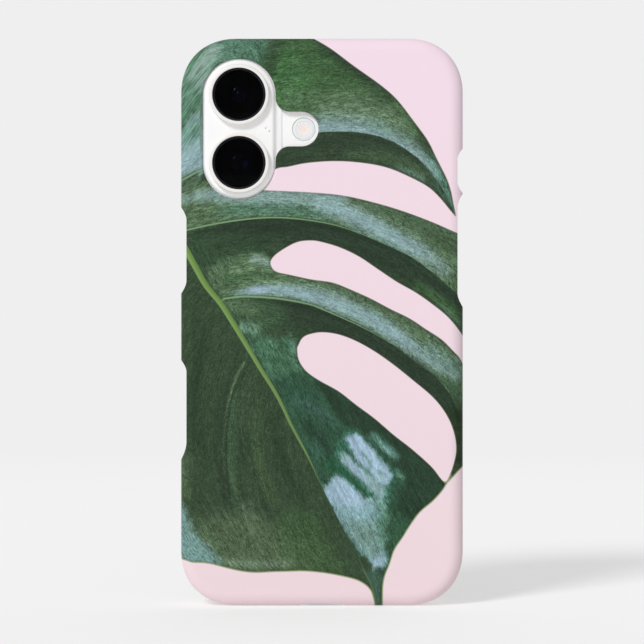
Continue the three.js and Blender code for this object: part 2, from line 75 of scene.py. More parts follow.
shell_low, shell_high = box_mm("case_shell")
frame_low, frame_high = box_mm("mid_frame")
back_low, back_high = box_mm("back_glass")
screen_low, screen_high = box_mm("front_glass")
HALF_WIDTH = shell_high[0]
HEIGHT = shell_high[2]
WALL = HALF_WIDTH - frame_high[0]
BACK_Y = shell_low[1]
RIM_Y = shell_high[1]
GLASS_BACK_Y = frame_low[1] - 0.25  # the glass stands a little proud of the frame
SCREEN_Y = screen_high[1]
FLOOR_Y = GLASS_BACK_Y - 0.05  # inner face of the shell
CORNER = 14.9
CORNER_POWER = 2.2
print(f"shell {2 * HALF_WIDTH:.1f} x {HEIGHT:.1f} mm, wall {WALL:.2f} mm, back at y = {BACK_Y:.2f} mm")

# %% [markdown]
# ## The studio
# The picture is taken square on to the back of the case with a long lens, so the outline keeps
# its true proportions. The floor is lit near the phone and turns into plain light further off, so
# no horizon shows. A soft sun from the upper left gives the one soft shadow.

# %% Camera, square on to the back
FRAME_HEIGHT = 171.15 * MM  # what the picture takes in at the back of the case
LENS_LENGTH = 147
SENSOR_WIDTH = 36


def add_object(name, data):
    made = bpy.data.objects.new(name, data)
    bpy.context.scene.collection.objects.link(made)
    return made


camera_data = bpy.data.cameras.new("camera")
camera_data.lens = LENS_LENGTH
camera_data.sensor_width = SENSOR_WIDTH
camera = add_object("camera", camera_data)
distance = FRAME_HEIGHT * LENS_LENGTH / SENSOR_WIDTH
camera.location = (0, BACK_Y * MM - distance, HEIGHT / 2 * MM)
camera.rotation_euler = (math.pi / 2, 0, 0)
camera_data.clip_end = 50
bpy.context.scene.camera = camera
bpy.context.scene.view_settings.view_transform = "Standard"
bpy.context.scene.view_settings.look = "None"
print(f"camera {distance:.3f} m from the back")

# %% Floor that turns into plain light further off
BACKGROUND = 0.863
AMBIENT = 0.45
SUN = 1.68
SUN_WAY = (0.433, 0.65, -0.624)
SUN_SIZE = 16  # degrees across, which sets how soft the shadow is
FLOOR_TONE = 0.6
WHITE = (1, 1, 1, 1)


def new_finish(name):
    """Starts a material. The shader helpers add their nodes to the material started last."""
    global tree
    material = bpy.data.materials.new(name)
    material.use_nodes = True
    tree = material.node_tree
    tree.nodes.clear()
    return material


def node(kind, inputs=None, output=0, **settings):
    """Adds a shader node, links or sets its inputs, and gives one of its outputs, or all for None."""
    made = tree.nodes.new("ShaderNode" + kind)
    for key, value in settings.items():
        setattr(made, key, value)
    for key, value in (inputs or {}).items():
        if isinstance(value, bpy.types.NodeSocket):
            tree.links.new(value, made.inputs[key])
        else:
            made.inputs[key].default_value = value
    return made.outputs if output is None else made.outputs[output]


def surface(shader):
    node("OutputMaterial", {"Surface": shader}, None)


def position():
    return node("NewGeometry", output="Position")


floor_material = new_finish("studio_floor")
away = node("VectorMath", {0: position()}, "Value", operation="LENGTH")
fade = node("MapRange", {"Value": away, "From Min": 0.3, "From Max": 0.9},
            interpolation_type="SMOOTHSTEP")
matt = node("BsdfDiffuse", {"Color": (FLOOR_TONE, FLOOR_TONE, FLOOR_TONE, 1)})
lift = BACKGROUND - FLOOR_TONE * (AMBIENT - SUN * SUN_WAY[2] / math.pi)
near = node("AddShader", {0: matt, 1: node("Emission", {"Color": WHITE, "Strength": lift})})
glow = node("Emission", {"Color": WHITE, "Strength": BACKGROUND})
surface(node("MixShader", {"Fac": fade, 1: near, 2: glow}))

REACH = 6.0
for name, y, top in (("floor", -REACH, 0), ("backdrop", REACH, REACH)):
    mesh = bpy.data.meshes.new(name)
    mesh.from_pydata([(-REACH, y, 0), (REACH, y, 0), (REACH, REACH, top), (-REACH, REACH, top)],
                     [], [(0, 1, 2, 3)])
    mesh.materials.append(floor_material)
    add_object(name, mesh)

# %% Sun and room light
sun_data = bpy.data.lights.new("sun", "SUN")
sun_data.energy = SUN
sun_data.angle = math.radians(SUN_SIZE)
sun = add_object("sun", sun_data)
sun.rotation_euler = Vector(SUN_WAY).to_track_quat("-Z", "Y").to_euler()
world = bpy.data.worlds.new("room")
world.use_nodes = True
world.node_tree.nodes["Background"].inputs["Color"].default_value = (AMBIENT, AMBIENT, AMBIENT, 1)
bpy.context.scene.world = world
print(f"floor tone {FLOOR_TONE}, background {BACKGROUND}, lift {lift:.3f}")

# %% [markdown]
# ## Outlines
# Every outline of the phone and the shell is a rectangle whose corners are superellipses: they
# leave the straight sides more gently than a plain arc does. One function gives the points and the
# outward direction at each, and every other outline is that one moved inwards.

# %% Points round a soft-cornered rectangle
def corner_steps(corner):
    turn = np.linspace(0, math.pi / 2, 240)
    return np.cos(turn) ** (2 / CORNER_POWER) * corner, np.sin(turn) ** (2 / CORNER_POWER) * corner


def soft_rectangle(half_width, low, high, corner, step_at):
    """Points and outward directions, anticlockwise from the top of the straight right side."""
    across, up = corner_steps(corner)
    middle = (low + high) / 2
    half = (high - low) / 2
    bend = np.array([across + half_width - corner, up + half - corner]).T
    ring = np.vstack([bend, bend[::-1] * (-1, 1), -bend, bend[::-1] * (1, -1)])
    ring = np.vstack([ring, ring[:1]])
    run = np.concatenate([[0], np.cumsum(np.hypot(*np.diff(ring, axis=0).T))])
    stops = [0.0]
    while True:
        x, z = (np.interp(stops[-1], run, part) for part in ring.T)
        step = step_at(x, z + middle)
        if stops[-1] + 1.5 * step > run[-1]:
            break
        stops.append(stops[-1] + step)
    stops = np.array(stops)
    points = np.array([np.interp(stops, run, part) for part in ring.T]).T
    ahead, behind = (stops + 0.05) % run[-1], (stops - 0.05) % run[-1]
    along = np.array([np.interp(ahead, run, part) - np.interp(behind, run, part) for part in ring.T]).T
    along /= np.hypot(*along.T)[:, None]
    outward = np.array([along[:, 1], -along[:, 0]]).T
    points[:, 1] += middle
    return points, outward

# %% A sheet of triangles between outlines
def inside(outline, at):
    x, z = at.T
    odd = np.zeros(len(at), bool)
    for (x0, z0), (x1, z1) in zip(outline, np.roll(outline, -1, axis=0)):
        if z0 != z1:
            crossing = (z0 > z) != (z1 > z)
            odd ^= crossing & (x < (x1 - x0) * (z - z0) / (z1 - z0) + x0)
    return odd


def near_outline(outlines, at, reach):
    near = np.zeros(len(at), bool)
    for outline in outlines:
        for start, end in zip(outline, np.roll(outline, -1, axis=0)):
            run = end - start
            share = np.clip(((at - start) @ run) / max(run @ run, 1e-9), 0, 1)
            near |= ((at - start - share[:, None] * run) ** 2).sum(1) < reach**2
    return near


def sheet_between(outer, holes, spacing):
    """Flat points and triangles inside outer and outside the holes."""
    low, high = outer.min(0), outer.max(0)
    loops = [outer, *holes]
    points = list(loops)
    if spacing:
        rows = np.arange(low[1] + spacing / 2, high[1], spacing * 0.87)
        columns = np.arange(low[0] + spacing / 2, high[0], spacing)
        grid = np.array([(x + 0.5 * spacing * (j % 2), z) for j, z in enumerate(rows) for x in columns])
        keep = inside(outer, grid)
        for hole in holes:
            keep &= ~inside(hole, grid)
        grid = grid[keep]
        points.append(grid[~near_outline(loops, grid, 0.45 * spacing)])
    flat = np.vstack(points)
    edges = []
    first = 0
    for count in map(len, loops):
        edges += [(first + k, first + (k + 1) % count) for k in range(count)]
        first += count
    made = delaunay_2d_cdt([Vector(p) for p in flat], edges, [], 0, 1e-7, False)
    flat = np.array([tuple(v) for v in made[0]])
    faces = np.array(made[2])
    middle = flat[faces].mean(1)
    across, along = flat[faces[:, 1]] - flat[faces[:, 0]], flat[faces[:, 2]] - flat[faces[:, 0]]
    flatness = abs(across[:, 0] * along[:, 1] - across[:, 1] * along[:, 0])
    keep = inside(outer, middle) & (flatness > 1e-5)
    for hole in holes:
        keep &= ~inside(hole, middle)
    return flat, faces[keep]

# %% A mesh put together from patches that share their edges
def shade(mesh, smooth, angle):
    """Soft shading on the listed faces only, with a crease wherever the skin turns sharply."""
    mesh.set_sharp_from_angle(angle=math.radians(angle))
    mesh.polygons.foreach_set("use_smooth", smooth)


class Patches:
    """Collects patches of points and faces, and joins them into one closed skin."""

    def __init__(self):
        self.points = []
        self.faces = []
        self.slots = []
        self.curved = []
        self.count = 0

    def add(self, points, faces, slot=0, curved=False):
        self.points.append(np.asarray(points, float))
        self.faces += [tuple(int(i) + self.count for i in face) for face in faces]
        self.slots += [slot] * len(faces)
        self.curved += [curved] * len(faces)
        self.count += len(points)

    def strip(self, rows, slot=0, skip=None):
        """Quads between closed rows of points that run alongside each other."""
        rows = np.asarray(rows, float)
        deep, wide = rows.shape[:2]
        faces = []
        for row in range(deep - 1):
            for k in range(wide):
                if not (skip and skip(row, k)):
                    here, following = row * wide + k, row * wide + (k + 1) % wide
                    faces.append((here, following, following + wide, here + wide))
        self.add(rows.reshape(-1, 3), faces, slot, curved=True)

    def fill(self, outer, holes, spacing, y, slot=0, curved=False):
        """A flat face at depth y, between an outline and its holes."""
        flat, faces = sheet_between(outer, holes, spacing)
        self.add(place(flat, y), faces, slot, curved)

    def tunnel(self, outline, start_y, end_y):
        self.strip([place(outline, start_y), place(outline, end_y)])

    def piece(self, name, materials, sharp=32):
        mesh = bpy.data.meshes.new(name)
        mesh.from_pydata((np.vstack(self.points) * MM).tolist(), [], self.faces)
        mesh.polygons.foreach_set("material_index", self.slots)
        mesh.polygons.foreach_set("use_smooth", self.curved)
        work = bmesh.new()
        work.from_mesh(mesh)
        bmesh.ops.remove_doubles(work, verts=work.verts, dist=2e-6)
        bmesh.ops.dissolve_degenerate(work, edges=work.edges, dist=1e-6)
        bmesh.ops.recalc_face_normals(work, faces=work.faces)
        open_edges = sum(1 for e in work.edges if not e.is_manifold)
        work.to_mesh(mesh)
        work.free()
        shade(mesh, [face.use_smooth for face in mesh.polygons], sharp)
        for material in materials:
            mesh.materials.append(material)
        print(f"{name}: {len(mesh.polygons)} faces, {open_edges} open edges")
        return add_object(name, mesh)


def place(flat, y):
    """Points drawn in x and z, set at depth y."""
    flat = np.asarray(flat, float)
    return np.column_stack([flat[:, 0], np.broadcast_to(y, len(flat)), flat[:, 1]])


def quarter(count):
    """Steps of a quarter turn: how far is left across and how far it has come down, 0 to 1."""
    turn = np.linspace(0, math.pi / 2, count)
    return list(zip(1 - np.sin(turn), 1 - np.cos(turn)))

# %% [markdown]
# ## The shell
# A snap-on shell is one wall of hard plastic that runs round the phone: a flat back, an edge that
# rolls over into the side, and a rim that holds the phone in. The easiest way to make it is a
# section drawn once and carried round the outline. At the buttons the wall is cut away, and the
# section changes with the place: the cut has a sharp start and a curved run-out.

# %% Where the wall is cut away
ROLL_ACROSS = 3.6  # the edge rolls over this far in from the side
ROLL_DEEP = 2.6
CUT_DEPTH = 1.5
CUT_SWEEP = 1.7  # how sharply a cut starts; 1 would be a plain slope
SIDE_CUTS = [  # side, then from the top edge down: outer start, inner start, inner end, outer end
    (-1, 45.0, 48.4, 64.6, 68.0),
    (-1, 85.7, 88.7, 107.6, 112.2),
    (1, 29.3, 32.2, 38.4, 41.25),
    (1, 41.35, 44.9, 67.9, 71.6),
]
RECESS_OUTER = 6.5
RECESS_INNER = 4.75
RECESS_DEPTH = 0.6
CUT_STEP, PORT_STEP, PLAIN_STEP = 0.16, 0.25, 0.6  # from station to station round the shell


def ease(share):
    share = np.clip(share, 0, 1)
    return share * share * (3 - 2 * share)


def cut_into_wall(x, z):
    """How deep the wall is cut, 0 to 1, and how far its edge has come down, 0 to 1."""
    deep = 0.0
    down = 0.0
    below_top = HEIGHT - z
    for side, outer_start, inner_start, inner_end, outer_end in SIDE_CUTS:
        if side * x < HALF_WIDTH - 1 or not outer_start <= below_top <= outer_end:
            continue
        share = min((below_top - outer_start) / (inner_start - outer_start),
                    (outer_end - below_top) / (outer_end - inner_end), 1.0)
        deep = 1 - (1 - share) ** CUT_SWEEP
        past = min(below_top - outer_start, outer_end - below_top)
        down = float(ease((past - 1.0) / 3.0))
    return deep, down


def port_recess(x, z):
    if z > 1:
        return 0.0
    return RECESS_DEPTH * float(ease((RECESS_OUTER - abs(x)) / (RECESS_OUTER - RECESS_INNER)))


def shell_step(x, z):
    """Short steps round the cuts, longer ones elsewhere."""
    below_top = HEIGHT - z
    for side, outer_start, inner_start, inner_end, outer_end in SIDE_CUTS:
        if side * x > HALF_WIDTH - 1:
            upper = outer_start - 0.4 < below_top < inner_start + 1.5
            lower = inner_end - 1.5 < below_top < outer_end + 0.4
            if upper or lower:
                return CUT_STEP
    if z < 1 and abs(x) < RECESS_OUTER + 0.3:
        return PORT_STEP
    return PLAIN_STEP

# %% The section of the wall
LIP = 0.9
LIP_Y = SCREEN_Y + 0.1
INNER_FACE = WALL - 0.1
RIM_ROUND_OUT, RIM_ROUND_IN = 0.6, 0.25
ROLL_POINTS = 9
WALL_POINTS = 5


def wall_section(x, z):
    """(distance in from the outline, depth) from the back round the rim to the inner floor."""
    deep, down = cut_into_wall(x, z)
    cut = deep * CUT_DEPTH + port_recess(x, z)
    top = RIM_Y + (FLOOR_Y + 0.1 - RIM_Y) * down
    reach = math.asin(1 - cut / ROLL_ACROSS)
    points = []
    for k in range(ROLL_POINTS):
        turn = reach * k / (ROLL_POINTS - 1)
        points.append((ROLL_ACROSS * (1 - math.sin(turn)), BACK_Y + ROLL_DEEP * (1 - math.cos(turn))))
    lip_share = float(np.clip((top - LIP_Y) / 0.5, 0, 1))
    inner = INNER_FACE + (LIP + 0.1) * lip_share
    side_start = points[-1][1]
    round_out = min(RIM_ROUND_OUT, 0.4 * (inner - cut), 0.45 * (top - side_start))
    round_in = min(RIM_ROUND_IN, 0.4 * (inner - cut))
    for k in range(1, WALL_POINTS):
        points.append((cut, side_start + (top - round_out - side_start) * k / (WALL_POINTS - 1)))
    for left, gone in quarter(5)[1:]:
        points.append((cut + round_out * gone, top - round_out * left))
    for left, gone in quarter(3):
        points.append((inner - round_in * left, top - round_in * gone))
    limit = top - round_in
    for into, depth in ((inner, LIP_Y), (INNER_FACE, LIP_Y), (INNER_FACE, FLOOR_Y + 0.4),
                        (INNER_FACE + 0.12, FLOOR_Y + 0.12), (INNER_FACE + 0.4, FLOOR_Y)):
        points.append((into, max(min(depth, limit - 0.002 * len(points)), FLOOR_Y)))
    return points


outline, outward = soft_rectangle(HALF_WIDTH, 0.0, HEIGHT, CORNER, shell_step)
sections = np.array([wall_section(x, z) for x, z in outline])
into, depth = sections[..., 0], sections[..., 1]
flat = outline[:, None, :] - outward[:, None, :] * into[..., None]
wall = np.dstack([flat[..., 0], depth, flat[..., 1]]).transpose(1, 0, 2)
RIM_END = ROLL_POINTS + WALL_POINTS - 1 + 4
print("stations round the shell:", len(outline), "points in a section:", sections.shape[1])

# %% [markdown]
# The camera window is a pill with a small tab for the flash, joined by hollow curves. The port and
# the two rows of sound holes are pills in the lower wall. Each hole is an outline that is carried
# through the wall with a rounded mouth, so it closes on both faces.

# %% The camera window and the pills
LENS_X = middle_mm("lens_ring_upper")[0]
LENS_Z = [middle_mm(ring)[2] for ring in ("lens_ring_upper", "lens_ring_lower")]
ISLAND_Z = sum(LENS_Z) / 2
WINDOW_HALF_WIDTH = 9.69
WINDOW_HALF_HEIGHT = 18.67
TAB_END = -0.92
TAB_HALF = 4.6
HOLLOW = 3.7


def arc(centre, radius, start, end, count):
    turn = np.radians(np.linspace(start, end, count))
    return np.column_stack([centre[0] + radius * np.cos(turn), centre[1] + radius * np.sin(turn)])


def camera_window(grow=0.0):
    straight = WINDOW_HALF_HEIGHT - WINDOW_HALF_WIDTH
    radius = WINDOW_HALF_WIDTH + grow
    tab = TAB_HALF + grow
    hollow = HOLLOW - grow
    side = LENS_X + radius + hollow
    return np.vstack([
        arc((LENS_X, ISLAND_Z + straight), radius, 0, 180, 48),
        arc((LENS_X, ISLAND_Z - straight), radius, 180, 360, 48),
        arc((side, ISLAND_Z - tab - hollow), hollow, 180, 90, 12),
        arc((TAB_END - TAB_HALF, ISLAND_Z), tab, -90, 90, 28),
        arc((side, ISLAND_Z + tab + hollow), hollow, 270, 180, 12),
    ])


def pill(half_width, half_height, x, z, count=14):
    if half_width > half_height:
        straight = half_width - half_height
        return np.vstack([arc((x + straight, z), half_height, -90, 90, count),
                          arc((x - straight, z), half_height, 90, 270, count)])
    straight = half_height - half_width
    return np.vstack([arc((x, z + straight), half_width, 0, 180, count),
                      arc((x, z - straight), half_width, 180, 360, count)])

# %% The back panel with its camera window
PRINTED, BARE = 0, 1
MOUTH = 0.45
FOOT_ROOM = 1.96  # how far the foot of the camera island runs under the shell, with its clearance
shell = Patches()
shell.fill(wall[0][:, [0, 2]], [camera_window(MOUTH)], 0.55, BACK_Y, PRINTED, curved=True)
rows = [place(camera_window(MOUTH * left), BACK_Y + MOUTH * gone) for left, gone in quarter(5)]
shell.strip(rows, PRINTED)
under_y = FLOOR_Y - 0.4
shell.strip([rows[-1], place(camera_window(), under_y), place(camera_window(FOOT_ROOM), under_y),
             place(camera_window(FOOT_ROOM), FLOOR_Y)], BARE)
shell.fill(wall[-1][:, [0, 2]], [camera_window(FOOT_ROOM)], 0, FLOOR_Y, BARE)
print("back panel points:", shell.count)

# %% The wall, with its lower part left open for the port and the sound holes
WALL_FIRST = ROLL_POINTS - 1
WALL_LAST = ROLL_POINTS + WALL_POINTS - 2
INSIDE_FIRST = RIM_END + 4
PANEL_HALF = 24.2
low_run = np.flatnonzero((outline[:, 1] < 0.05) & (abs(outline[:, 0]) < PANEL_HALF))


def low_wall(row, station):
    following = (station + 1) % len(outline)
    return station in low_set and following in low_set and (
        WALL_FIRST <= row < WALL_LAST or row == INSIDE_FIRST)


low_set = set(low_run.tolist())
shell.strip(wall[: RIM_END + 1], PRINTED, skip=low_wall)
shell.strip(wall[RIM_END:], BARE, skip=lambda row, station: low_wall(row + RIM_END, station))

# %% The lower wall as a flat panel with three holes
def panel_loop(first, last):
    return np.vstack([wall[first][low_run], wall[first + 1 : last, low_run[-1]],
                      wall[last][low_run][::-1], wall[first + 1 : last, low_run[0]][::-1]])


PORT_Y = 1.25
HOLES = [(6.3, 3.1, 0.0), (6.3, 1.5, -17.1), (6.3, 1.5, 17.1)]
HOLE_EDGE = 0.3


def raised(flat, row):
    """Points drawn in x and y, lifted to the height of the lower wall at that row of the section."""
    edge = wall[row][low_run]
    return np.column_stack([flat, np.interp(flat[:, 0], edge[:, 0], edge[:, 2])])


for first, last, grow, slot in ((WALL_FIRST, WALL_LAST, HOLE_EDGE, PRINTED),
                                (INSIDE_FIRST, INSIDE_FIRST + 1, 0, BARE)):
    holes = [pill(w + grow, h + grow, x, PORT_Y) for w, h, x in HOLES]
    panel, faces = sheet_between(panel_loop(first, last)[:, :2], holes, 0.7 if slot == PRINTED else 0)
    shell.add(raised(panel, first), faces, slot)
for w, h, x in HOLES:
    rows = []
    for left, gone in quarter(4):
        ring = pill(w + HOLE_EDGE * left, h + HOLE_EDGE * left, x, PORT_Y)
        rows.append(raised(ring, WALL_FIRST) + (0, 0, HOLE_EDGE * gone))
    shell.strip(rows + [raised(ring, INSIDE_FIRST)], BARE)

# %% [markdown]
# ## The print
# The leaf is a picture that is sublimated into the shell, so it has no relief of its own. It is
# painted here the way an illustrator would: first the outlines of the blade and its slits, then the
# ribs, then broad tones, and last the strokes of light that follow the small veins. Every curve is
# a handful of points in millimetres, and a stroke or a patch only touches the points near it.

# %% Curves through a few points
def smooth_line(points, step=0.8):
    p = np.array(points, float)
    ends = np.vstack([2 * p[0] - p[1], p, 2 * p[-1] - p[-2]])
    pieces = []
    for a, b, c, d in zip(ends, ends[1:], ends[2:], ends[3:]):
        count = max(2, int(np.ceil(np.hypot(*(c - b)) / step)))
        t = np.arange(count)[:, None] / count
        pieces.append(0.5 * (2 * b + (c - a) * t + (2 * a - 5 * b + 4 * c - d) * t**2
                             + (3 * b - a - 3 * c + d) * t**3))
    return np.vstack(pieces + [p[-1:]])


def beside(line, at):
    """Distance from a line (plus on its left), share of its length, and how far past its end."""
    start, run = line[:-1], np.diff(line, axis=0)
    length = np.hypot(*run.T)
    before = np.concatenate([[0], np.cumsum(length)])
    best = np.full(len(at), np.inf)
    side, along, past = np.zeros((3, len(at)))
    for k in range(len(start)):
        off = at - start[k]
        raw = (off @ run[k]) / max(length[k] ** 2, 1e-12)
        share = np.clip(raw, 0, 1)
        gap = ((off - share[:, None] * run[k]) ** 2).sum(1)
        near = gap < best
        over = np.zeros(len(at))
        if k == 0:
            over = np.maximum(over, -raw * length[k])
        if k == len(start) - 1:
            over = np.maximum(over, (raw - 1) * length[k])
        best = np.where(near, gap, best)
        side = np.where(near, np.sign(run[k, 0] * off[:, 1] - run[k, 1] * off[:, 0]), side)
        along = np.where(near, before[k] + share * length[k], along)
        past = np.where(near, over, past)
    return side * np.sqrt(best), along / before[-1], past


def edge_gap(outline, at):
    """Distance to a closed outline, plus inside it."""
    gap = np.abs(beside(np.vstack([outline, outline[:1]]), at)[0])
    return np.where(inside(outline, at), gap, -gap)


def keyed(values, share):
    """A value that changes evenly through the listed ones along a line."""
    values = np.atleast_1d(np.array(values, float))
    return np.interp(share, np.linspace(0, 1, max(len(values), 2)), np.resize(values, max(len(values), 2)))


def within(line, at, reach):
    return np.flatnonzero(((at > line.min(0) - reach) & (at < line.max(0) + reach)).all(1))

# %% Margin of the blade, from the top corner round to the foot
TOP_MARGIN = [
    (-2.3, 151.1), (2.5, 148.1), (8.5, 143.6), (15.5, 138.6), (20, 134.6), (24.5, 128.8),
    (28.1, 123.8), (30.6, 118.8), (33.1, 113.8), (34.3, 110.3), (35, 106.8), (35.8, 103.2),
]
FIRST_SLIT_TOP = [
    (34.1, 105.2), (31.1, 108.8), (28.1, 111.5), (23.5, 114), (17.5, 116.5), (11, 117.8),
    (3.5, 118.3), (-4, 117.8), (-9, 116.8), (-12.3, 116.2), (-17.8, 113),
]
FIRST_SLIT_FOOT = [
    (-15.8, 110.6), (-9, 110.3), (-1.5, 109.9), (6, 109.1), (13.5, 107.4), (21, 105.2),
    (28.6, 102.4), (36, 99.2), (44, 96),
]
SECOND_SLIT = [
    (44, 62), (37.4, 72), (33.5, 76.8), (29.4, 80.2), (25, 83.3), (19.9, 86.2), (14.8, 89.6),
    (9.7, 93), (4.6, 95.4), (-0.5, 96.9), (-3.3, 97.2), (-6.5, 96.8), (-9.6, 95.3), (-12.6, 93.2),
    (-13.7, 91.4), (-13.1, 89.7), (-11.8, 88.8), (-9, 88.2), (-3, 86.9), (2.9, 86), (8, 84),
    (13.1, 81.7), (18.2, 79), (23.3, 76.5), (27.7, 73.6), (31.8, 70.9), (35.2, 67.5), (37.4, 64.7),
    (44, 52),
]
LOWER_MARGIN = [
    (44, 44), (40, 38.8), (37.3, 36.8), (35.1, 34.6), (33.1, 32.4), (32.1, 30.8), (29.6, 28),
    (26.1, 25), (23.5, 21.5), (21.5, 18.3), (19.3, 15), (18, 11.2), (16.8, 8.2), (16.3, 5.7),
    (16.2, 3.2), (16.2, 0), (16.2, -5),
]
FOOT_MARGIN = [
    (13.9, -5), (14, 0), (13.3, 3.2), (12.5, 4.7), (11, 6), (9, 7), (6, 7.8), (2.5, 8.5), (-1, 9),
    (-5.1, 9.3), (-9, 9.2), (-13.1, 9.1), (-17.6, 8.9), (-21.6, 9.3), (-25.6, 10.2), (-29.1, 11.1),
    (-31.6, 11.5), (-34.6, 11.6), (-37.1, 12.3), (-46, 14),
]
THIRD_SLIT = [
    (-6.6, 68.7), (-5.1, 71.4), (-2.5, 72.5), (0.5, 72.8), (4.5, 72.2), (9, 70.5), (14, 67.7),
    (19, 64.2), (24.1, 60.1), (29.1, 55.9), (32.1, 52.4), (34.1, 48.9), (35.3, 45.3), (35.7, 41.8),
    (35.2, 38.6), (34.1, 35.3), (32.5, 33.1), (29.1, 37.1), (24.1, 41.6), (19, 45.6), (14, 49.9),
    (9, 53.6), (4.5, 57.1), (-0.5, 59.9), (-3.5, 61.9), (-5.1, 63.6), (-6.3, 65.9), (-6.6, 68.7),
]
blade = np.vstack([
    [(-46, 160), (-9, 155.5)], smooth_line(TOP_MARGIN), smooth_line(FIRST_SLIT_TOP),
    smooth_line(FIRST_SLIT_FOOT), [(60, 90)], smooth_line(SECOND_SLIT), [(60, 50)],
    smooth_line(LOWER_MARGIN), smooth_line(FOOT_MARGIN),
])
third_slit = smooth_line(THIRD_SLIT)
print("points in the margin:", len(blade))

# %% Midrib and side ribs
MIDRIB = [
    (-41, 102.5), (-35.9, 94.3), (-31.1, 85.7), (-27.1, 80.7), (-23.6, 75.2), (-20.1, 69.4),
    (-16.2, 62.9), (-11.9, 55.9), (-8, 47.8), (-4, 40.3), (0, 31.8), (4.5, 22.8), (8.5, 15.2),
    (11, 9.7), (13, 5.7), (14.6, 0), (15, -5),
]
RIB_A = [(-44, 118), (-37.5, 126.3), (-31.8, 133.6), (-26, 141)]
RIB_1 = [
    (-44, 110.5), (-37.5, 113.2), (-31.8, 116.2), (-22, 121.5), (-12.5, 124.6), (-1, 126),
    (6, 126.2), (11, 125.8), (16, 124.6), (21, 122.3), (26.1, 118.5), (30.1, 113.8), (33.1, 108.8),
    (35.5, 104),
]
RIB_2 = [
    (-42, 98.6), (-35.9, 100), (-29.1, 101.5), (-21.6, 102.7), (-14.1, 103.3), (-8, 103.1),
    (-1.5, 102.3), (4.5, 101), (11, 98.7), (16, 96.5), (21, 94.2), (26.1, 91.2), (31.1, 87.2),
    (35.6, 83.2), (42, 77),
]
RIB_3 = [
    (-26.3, 81.7), (-21.6, 82.3), (-16.6, 82.2), (-11, 81.7), (-4, 80.4), (-0.5, 79.2), (9, 75),
    (14.8, 71.9), (19.9, 68.8), (25, 64.7), (30.1, 61), (34.2, 55.9), (37, 50),
]
LEFT_RIB = [
    (-20.5, 65.3), (-22.6, 61), (-24.7, 55.1), (-25.8, 48.2), (-26.1, 40.2), (-25.2, 29), (-22.9, 20),
]

# %% [markdown]
# The picture is laid on the shell from straight behind, and where the wall turns down the side it
# keeps going, as a wrapped film does. So a point on the side is read a little further out than it
# looks from behind.

# %% Lay the picture on the shell
shell_material = new_finish("printed_shell")
bare_material = new_finish("shell_inside")
printed_case = shell.piece("printed_case", [shell_material, bare_material])
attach(printed_case, PHONE)
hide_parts("case_shell")

points = np.empty(len(printed_case.data.vertices) * 3)
printed_case.data.vertices.foreach_get("co", points)
points = points.reshape(-1, 3) / MM
at = points[:, [0, 2]].copy()
round_the_side = np.flatnonzero(points[:, 1] > BACK_Y + ROLL_DEEP)
for part in np.array_split(round_the_side, 40):
    nearest = ((at[part][:, None] - outline[None]) ** 2).sum(2).argmin(1)
    at[part] += outward[nearest] * (points[part, 1] - BACK_Y - ROLL_DEEP)[:, None]

blade_gap = np.minimum(edge_gap(blade, at), -edge_gap(third_slit, at))
measured = [beside(smooth_line(rib, 1.2), at) for rib in (RIB_A, RIB_1, RIB_2, RIB_3, MIDRIB)]
reach = np.array([abs(gap) + np.maximum(past, 0) for gap, share, past in measured])
closest = reach.argmin(0)
rib_gap = np.array([gap for gap, share, past in measured])[closest, np.arange(len(at))]
print("points to paint:", len(at))

# %% Paint and brushes
TONES = {
    "deep": (41, 57, 43), "bottle": (53, 72, 51), "leaf": (62, 93, 58), "bright": (68, 106, 66),
    "moss": (84, 108, 80), "pine": (48, 80, 60), "jade": (82, 120, 100), "mint": (104, 138, 118),
    "sea": (122, 153, 148), "ice": (140, 168, 172), "glare": (158, 182, 202), "sage": (100, 124, 98),
    "dusk": (48, 64, 48),
}


